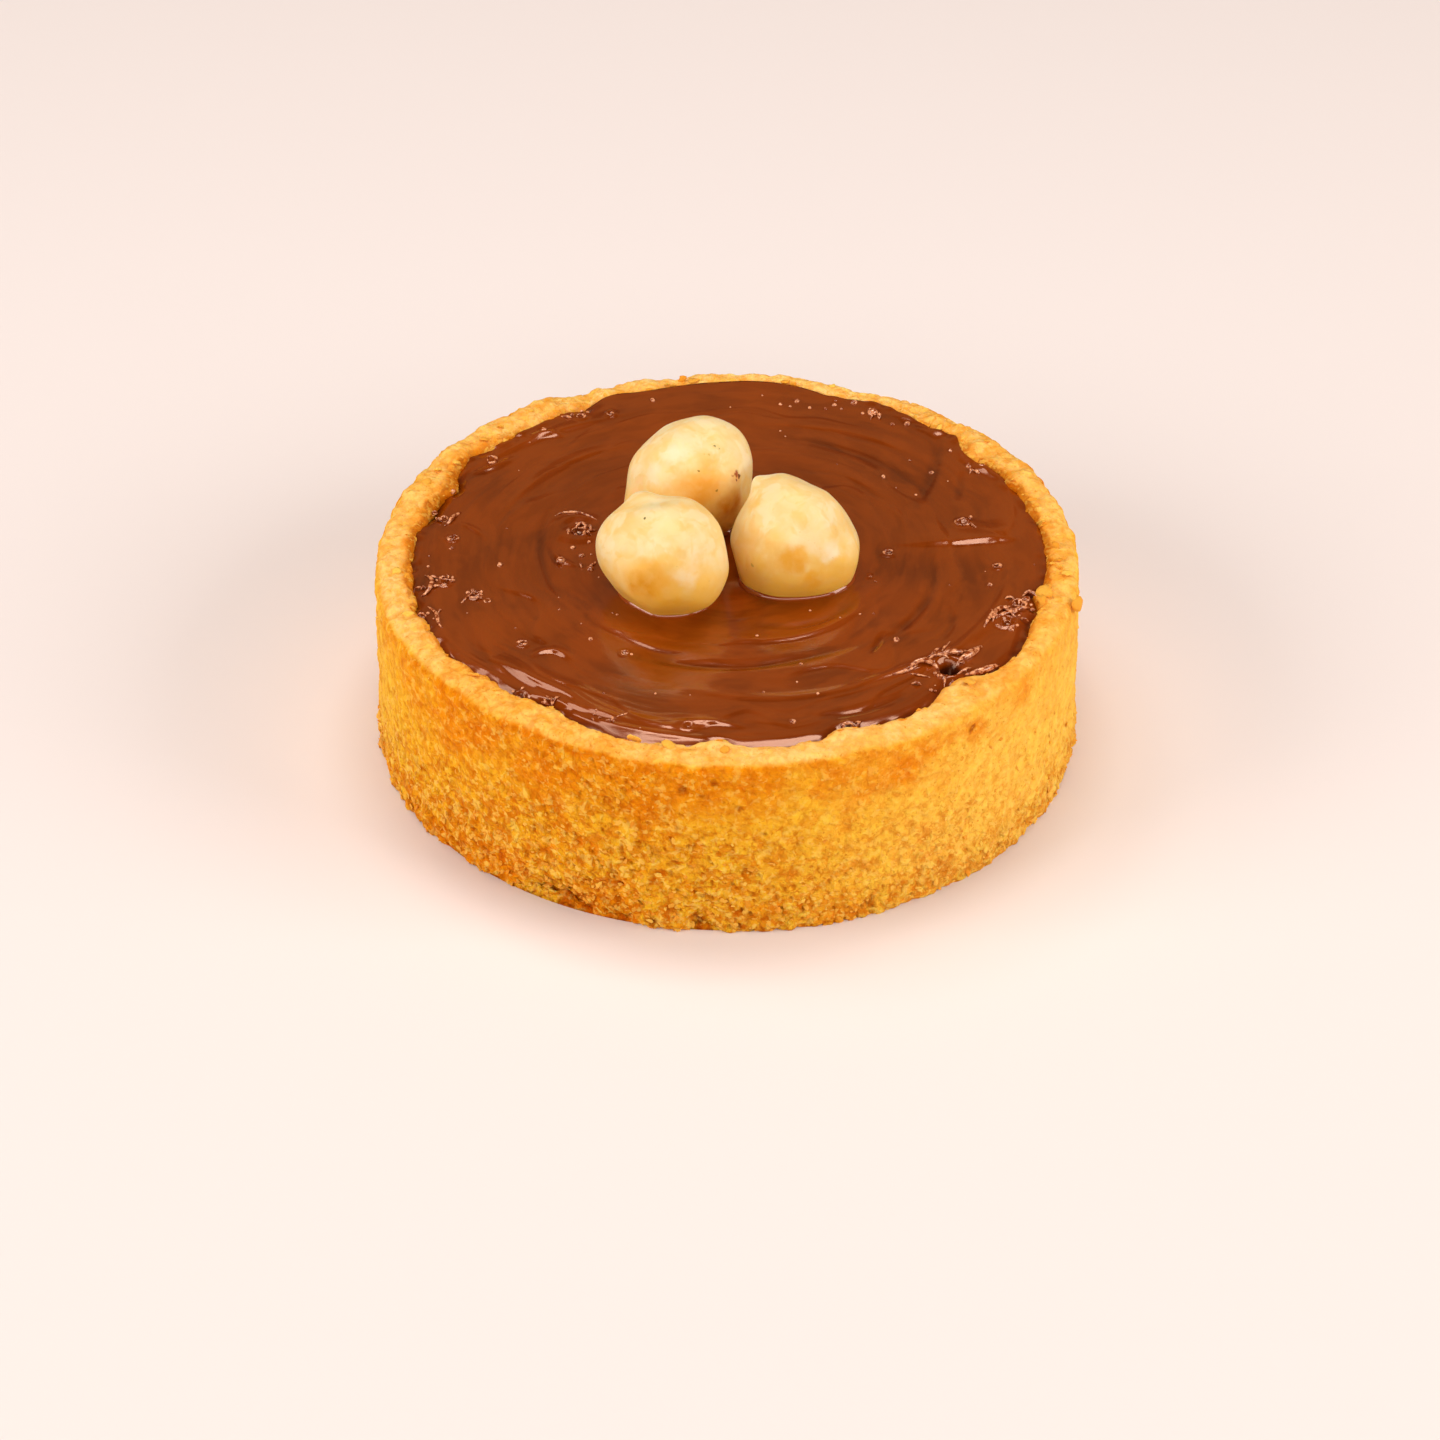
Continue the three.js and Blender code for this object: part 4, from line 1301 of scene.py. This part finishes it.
# Air bubbles in the filling's top: open rings, small domes, and curls at the tears.
froth = {
    "seed": 9,
    # x, y, radius of the ring
    "rings": [
        (-31.9, -4.7, 0.62), (-28.4, -7.3, 0.6), (-27.0, -8.4, 0.4), (-22.8, -16.7, 0.5),
        (-11.4, -18.4, 0.4), (27.0, 7.2, 0.8), (18.3, 1.1, 0.5), (30.6, -1.7, 0.45), (-16.9, 5.7, 0.8),
        (32.8, -9.2, 0.7), (31.0, -12.8, 0.7), (-31.4, 4.0, 0.55), (13.2, -32.2, 0.6), (-17.2, 29.6, 0.5),
        (-13.8, 30.1, 0.4), (17.1, 30.6, 0.6), (-27.4, 20.2, 0.6), (-32.6, 8.0, 0.6),
    ],
    "ringThickness": 0.13,
    "ringParts": (6, 16),  # round its section, round the ring
    "beadThickness": 0.34,
    "beadParts": (14, 90),
    "beadLean": Vector((0.857, 0, 0.515)),  # the way its flattened side faces
    "beadSeat": (0.15, 0.06),  # how far out from the nut and above the filling its middle lies
    # x, y, radius of the dome
    "domes": [
        (-8.9, 33.1, 0.3), (-21.6, 26.4, 0.35), (6.3, 32.4, 0.25), (8.2, 33.1, 0.35), (12.8, 33.1, 0.25),
        (14.9, 32.7, 0.4), (17.1, 30.5, 0.5), (19.4, 27.9, 0.3), (21.1, 28.0, 0.4), (26.0, 22.3, 0.35),
        (28.0, 19.1, 0.4), (29.6, 18.9, 0.45), (23.7, 18.1, 0.35), (18.1, 16.8, 0.3), (-25.8, -1.3, 0.35),
        (-15.2, -15.9, 0.25), (18.8, -15.9, 0.38), (16.1, -3.3, 0.3), (7.1, -31.4, 0.4), (-31.8, 13.6, 0.4),
        (-31.4, 2.1, 0.3), (-17.6, 2.2, 0.3), (-15.8, 3.2, 0.25), (-16.2, 6.4, 0.3), (-17.4, 5.2, 0.3),
        (-18.9, -0.6, 0.55), (-16.6, 0.5, 0.35), (-15.5, -2.1, 0.45), (33.6, -8.0, 0.4), (31.6, -14.0, 0.4),
        (9.7, 31.6, 0.22), (11.6, 31.4, 0.25), (12.6, 32.2, 0.32), (13.5, 31.3, 0.22), (7.4, 32.0, 0.2),
        (30.2, -11.8, 0.3), (34.2, -10.2, 0.3), (29.6, -5.2, 0.35), (-29.2, -6.8, 0.25),
        (-32.4, -4.0, 0.25),
    ],
    "scattered": 46,
    "scatteredFrom": 12,  # the nearest to the middle, and the least distance to the case
    "scatteredMargin": 1.2,
    "scatteredRadius": (0.1, 0.28, 0.14),
    # curls: four points of the curve in plan, thickness, how high it arches
    "curls": [
        ((19.8, -21.9), (21.2, -20.6), (22.4, -20.4), (23.4, -21.6), 0.34, 0.35),
        ((18.0, -22.9), (19.2, -22.5), (20.2, -22.0), (21.0, -21.2), 0.2, 0.1),
        ((23.4, -19.8), (24.6, -19.0), (25.6, -19.0), (26.8, -18.2), 0.36, 0.3),
        ((25.6, -20.2), (26.4, -19.4), (27.2, -18.6), (28.2, -17.2), 0.5, 0.2),
        ((26.2, -22.6), (27.8, -22.8), (29.0, -21.8), (30.0, -20.8), 0.4, 0.4),
        ((28.6, -13.8), (29.4, -11.6), (30.4, -10.2), (32.0, -9.6), 0.3, 0.3),
        ((30.0, -12.2), (31.2, -10.8), (32.6, -10.8), (33.8, -9.8), 0.3, 0.25),
        ((33.2, -7.4), (33.8, -6.2), (34.6, -7.0), (35.0, -8.0), 0.25, 0.25),
        ((-34.2, -3.0), (-32.9, -4.2), (-33.2, -6.2), (-34.4, -7.4), 0.26, 0.35),
        ((-33.6, -9.4), (-32.0, -11.0), (-32.8, -12.4), (-31.8, -13.8), 0.24, 0.2),
        ((-32.4, 6.6), (-31.6, 7.4), (-31.6, 8.6), (-30.6, 9.4), 0.26, 0.2),
        ((-19.8, 8.6), (-18.6, 9.6), (-16.4, 9.4), (-15.0, 7.6), 0.16, 0.1),
    ],
    # tears with curls of their own: x, y, how far out the curls lie, how many
    "tears": [
        (24.6, -21.2, 2.3, 18), (31.3, -12.4, 1.5, 12), (33.4, -8.8, 1.1, 8), (-28.2, -7.3, 0.8, 6),
        (-31.9, -4.8, 0.8, 6), (-17.0, 5.6, 1.2, 8), (-16.0, -1.8, 0.6, 4), (-33.8, -5.0, 0.9, 5),
        (-23.4, -26.4, 0.9, 6), (-19.4, -29.0, 0.9, 6), (-15.0, -30.6, 0.9, 5), (-12.0, -31.8, 0.7, 4),
        (13.2, -32.2, 0.8, 5), (17.1, 30.6, 0.7, 5), (-17.4, 29.7, 0.9, 5), (-33.0, 8.6, 0.9, 6),
        (-33.2, -11.4, 0.8, 5), (28.6, 19.0, 0.8, 4), (27.0, 7.2, 0.7, 4), (22.0, -25.2, 0.8, 4),
    ],
    "tornGrains": 0.45,  # share of small domes among them
    "tornGrainRadius": (0.1, 0.26),
    "tornStep": (0.25, 0.6),
    "tornThickness": (0.09, 0.26, 0.14),
    "tornArch": (0.05, 0.35),
    "curlSteps": 9,
    "lipColour": (150, 66, 22),
    # the dark spread, and the pale of the painted glints
    "bubbleColourAndGlint": ((134, 54, 10), (234, 160, 112)),
}


def uprightCircle(bm, middle, radius, sides):  # standing at a distance from the axis, ready to be spun
    place = Matrix.Translation((middle, 0, 0)) @ Matrix.Rotation(math.pi / 2, 4, "X")
    return bmesh.ops.create_circle(bm, segments=sides, radius=radius, matrix=place)["verts"]


def spinToRing(bm, steps):
    bmesh.ops.spin(
        bm, geom=bm.verts[:] + bm.edges[:], cent=(0, 0, 0), axis=upward, angle=2 * math.pi, steps=steps,
        use_merge=True,
    )
    bmesh.ops.remove_doubles(bm, verts=bm.verts, dist=0.001)


def joinTo(bm, part):
    bmesh.ops.recalc_face_normals(part, faces=part.faces)
    mesh = bpy.data.meshes.new("part")
    part.to_mesh(mesh)
    part.free()
    bm.from_mesh(mesh)
    bpy.data.meshes.remove(mesh)


def addRing(bm, place, radius):
    # A burst bubble's lip, thick and thin by turns, so that parts of it are sunk.
    ring = bmesh.new()
    sides, steps = froth["ringParts"]
    uprightCircle(ring, radius, froth["ringThickness"], sides)
    spinToRing(ring, steps)
    for vert in ring.verts:
        middle = inPlan(vert.co).normalized() * radius
        swell = 0.9 + 1.6 * grain(middle + place, 0.7)
        wander = 1 + 0.6 * grain(middle + place, 0.8, 3.0)
        vert.co = middle * wander + (vert.co - middle) * max(0.15, swell)
        vert.co.z += 0.12 * grain(middle + place, 0.5, 6.0)
    bmesh.ops.translate(ring, vec=place, verts=ring.verts)
    joinTo(bm, ring)


def addDome(bm, place, radius, fineness=2):
    dome = bmesh.new()
    bmesh.ops.create_icosphere(dome, subdivisions=fineness, radius=radius)
    for vert in dome.verts:
        vert.co *= 1 + 0.35 * grain(vert.co + place, 0.5)
        vert.co.z *= 0.8
    bmesh.ops.translate(dome, vec=place, verts=dome.verts)
    joinTo(bm, dome)


def addCurl(bm, points, thickness, arch, heightAt):
    # A thin lip drawn along a curve, thickest in the middle and arched over the filling.
    curl = bmesh.new()
    steps = froth["curlSteps"]
    path = interpolate_bezier(*[Vector((*point, 0)) for point in points], steps)
    for index, point in enumerate(path):
        point.z = heightAt(point.x, point.y) + arch * math.sin(math.pi * index / (steps - 1))
    section = bmesh.ops.create_circle(curl, segments=6, radius=1.0, cap_ends=True)["verts"]
    corners = [vert.co.copy() for vert in section]
    loop = curl.edges[:]
    for index, point in enumerate(path):
        if index:
            section, loop = extrudeLoop(curl, loop)
        way = path[min(index + 1, steps - 1)] - path[max(index - 1, 0)]
        across = upward.rotation_difference(way.normalized()).to_matrix()
        width = thickness * (0.15 + 0.85 * math.sin(math.pi * (index + 0.5) / steps))
        for vert, corner in zip(section, corners):
            vert.co = point + across @ (corner * width)
    bmesh.ops.contextual_create(curl, geom=loop)
    joinTo(bm, curl)


def addTorn(bm, middle, reach, heightAt):
    # A short curl or a grain beside a tear.
    turn = random.uniform(0, 2 * math.pi)
    start = middle + reach * random.uniform(0.6, 1.3) * Vector((math.cos(turn), math.sin(turn)))
    if random.random() < froth["tornGrains"]:
        size = random.uniform(*froth["tornGrainRadius"])
        addDome(bm, Vector((*start, heightAt(*start) + 0.05)), size, 1)
        return
    heading = turn + math.radians(random.choice((70, -70, 20)) + random.gauss(0, 25))
    step = random.uniform(*froth["tornStep"]) * (0.6 + 0.4 * reach)
    points = [start]
    for _ in range(3):
        points.append(points[-1] + step * Vector((math.cos(heading), math.sin(heading))))
        heading += random.gauss(0, 0.7)
    thickness = random.triangular(*froth["tornThickness"])
    addCurl(bm, points, thickness, random.uniform(*froth["tornArch"]), heightAt)


def addBead(bm, middle, outline, heightAt):
    # The filling's rounded lip against a nut.
    bead = bmesh.new()
    thickness = froth["beadThickness"]
    sides, steps = froth["beadParts"]
    for vert in uprightCircle(bead, 1, thickness, sides):  # flattened outside, where it leans back
        past = (vert.co - Vector((1, 0, 0))).dot(froth["beadLean"]) - 0.8 * thickness
        vert.co -= max(0.0, past) * froth["beadLean"]
    spinToRing(bead, steps)
    out, lift = froth["beadSeat"]
    for vert in bead.verts:
        way = inPlan(vert.co).normalized()
        offset = (vert.co - way) * (1 + 0.3 * grain(way * 5 + middle, 2.4))
        seat = inPlan(middle) + way * (reachAt(outline, angleAt(way.x, way.y)) + out)
        seat.z = heightAt(*(seat + 0.3 * way).xy) + lift
        vert.co = seat + offset
    joinTo(bm, bead)


def makeFroth(material, strokes, settled):
    random.seed(froth["seed"])

    def heightAt(x, y):
        return fillHeight(x, y, strokes, settled)[0]

    bm = bmesh.new()
    for middle, outline in settled:
        addBead(bm, middle, outline, heightAt)
    finishPiece(bm, "lips_at_nuts", lipMaterial(), "chocolate")

    bm = bmesh.new()
    for x, y, radius in froth["rings"]:
        addRing(bm, Vector((x, y, heightAt(x, y + radius))), radius)
    for x, y, radius in froth["domes"]:
        addDome(bm, Vector((x, y, heightAt(x, y))), radius)
    for _ in range(froth["scattered"]):
        turn = random.uniform(0, 2 * math.pi)
        outermost = innerRadius - froth["scatteredMargin"]
        reach = random.triangular(froth["scatteredFrom"], outermost, outermost)
        x, y = reach * math.cos(turn), reach * math.sin(turn)
        size = random.triangular(*froth["scatteredRadius"])
        addDome(bm, Vector((x, y, heightAt(x, y))), size, 1)
    for *points, thickness, arch in froth["curls"]:
        addCurl(bm, points, thickness, arch, heightAt)
    for atX, atY, reach, count in froth["tears"]:
        for _ in range(count):
            addTorn(bm, Vector((atX, atY)), reach, heightAt)
    finishPiece(bm, "bubbles_and_curls", material, "chocolate")


def lipMaterial():
    material, tree, shader = newMaterial("glossy_lip")
    setInputs(tree, shader, {
        "Base Color": colour(*froth["lipColour"]),
        "Roughness": 0.07,
        "Specular IOR Level": 1.0,
        "Specular Tint": (1.0, 0.82, 0.74, 1),
    })
    return material


def glossMaterial():
    material, tree, shader = newMaterial("glossy_bubble")
    place = millimetres(tree)
    # The pale patches are painted glints on the bubbles.
    patches = stepOf(tree, noiseOf(tree, place, 0.45), 0.4, 0.62)
    setInputs(tree, shader, {
        "Base Color": between(tree, patches, froth["bubbleColourAndGlint"]),
        "Roughness": 0.08,
        "Specular IOR Level": 0.95,
        "Specular Tint": (1.0, 0.84, 0.72, 1),
        "Normal": bumpOf(tree, noiseOf(tree, place, 0.3), 0.3, 0.05),
    })
    return material


print("camera and studio")
makeCamera()
makeStudio()
print("case")
crumbSeats = makeCase(pastryMaterial())
print("crumbs")
makeChips(crumbSeats, crumbMaterial())
print("nuts")
settledNuts = []
for node in ("hazelnut_left", "hazelnut_right", "hazelnut_back"):
    settledNuts.append(makeNut(node, nuts[node], nutMaterial(node, nuts[node])))
print("filling")
strokes = knifeStrokes()
makeFilling(chocolateMaterial(), strokes, settledNuts)
print("bubbles")
makeFroth(glossMaterial(), strokes, settledNuts)
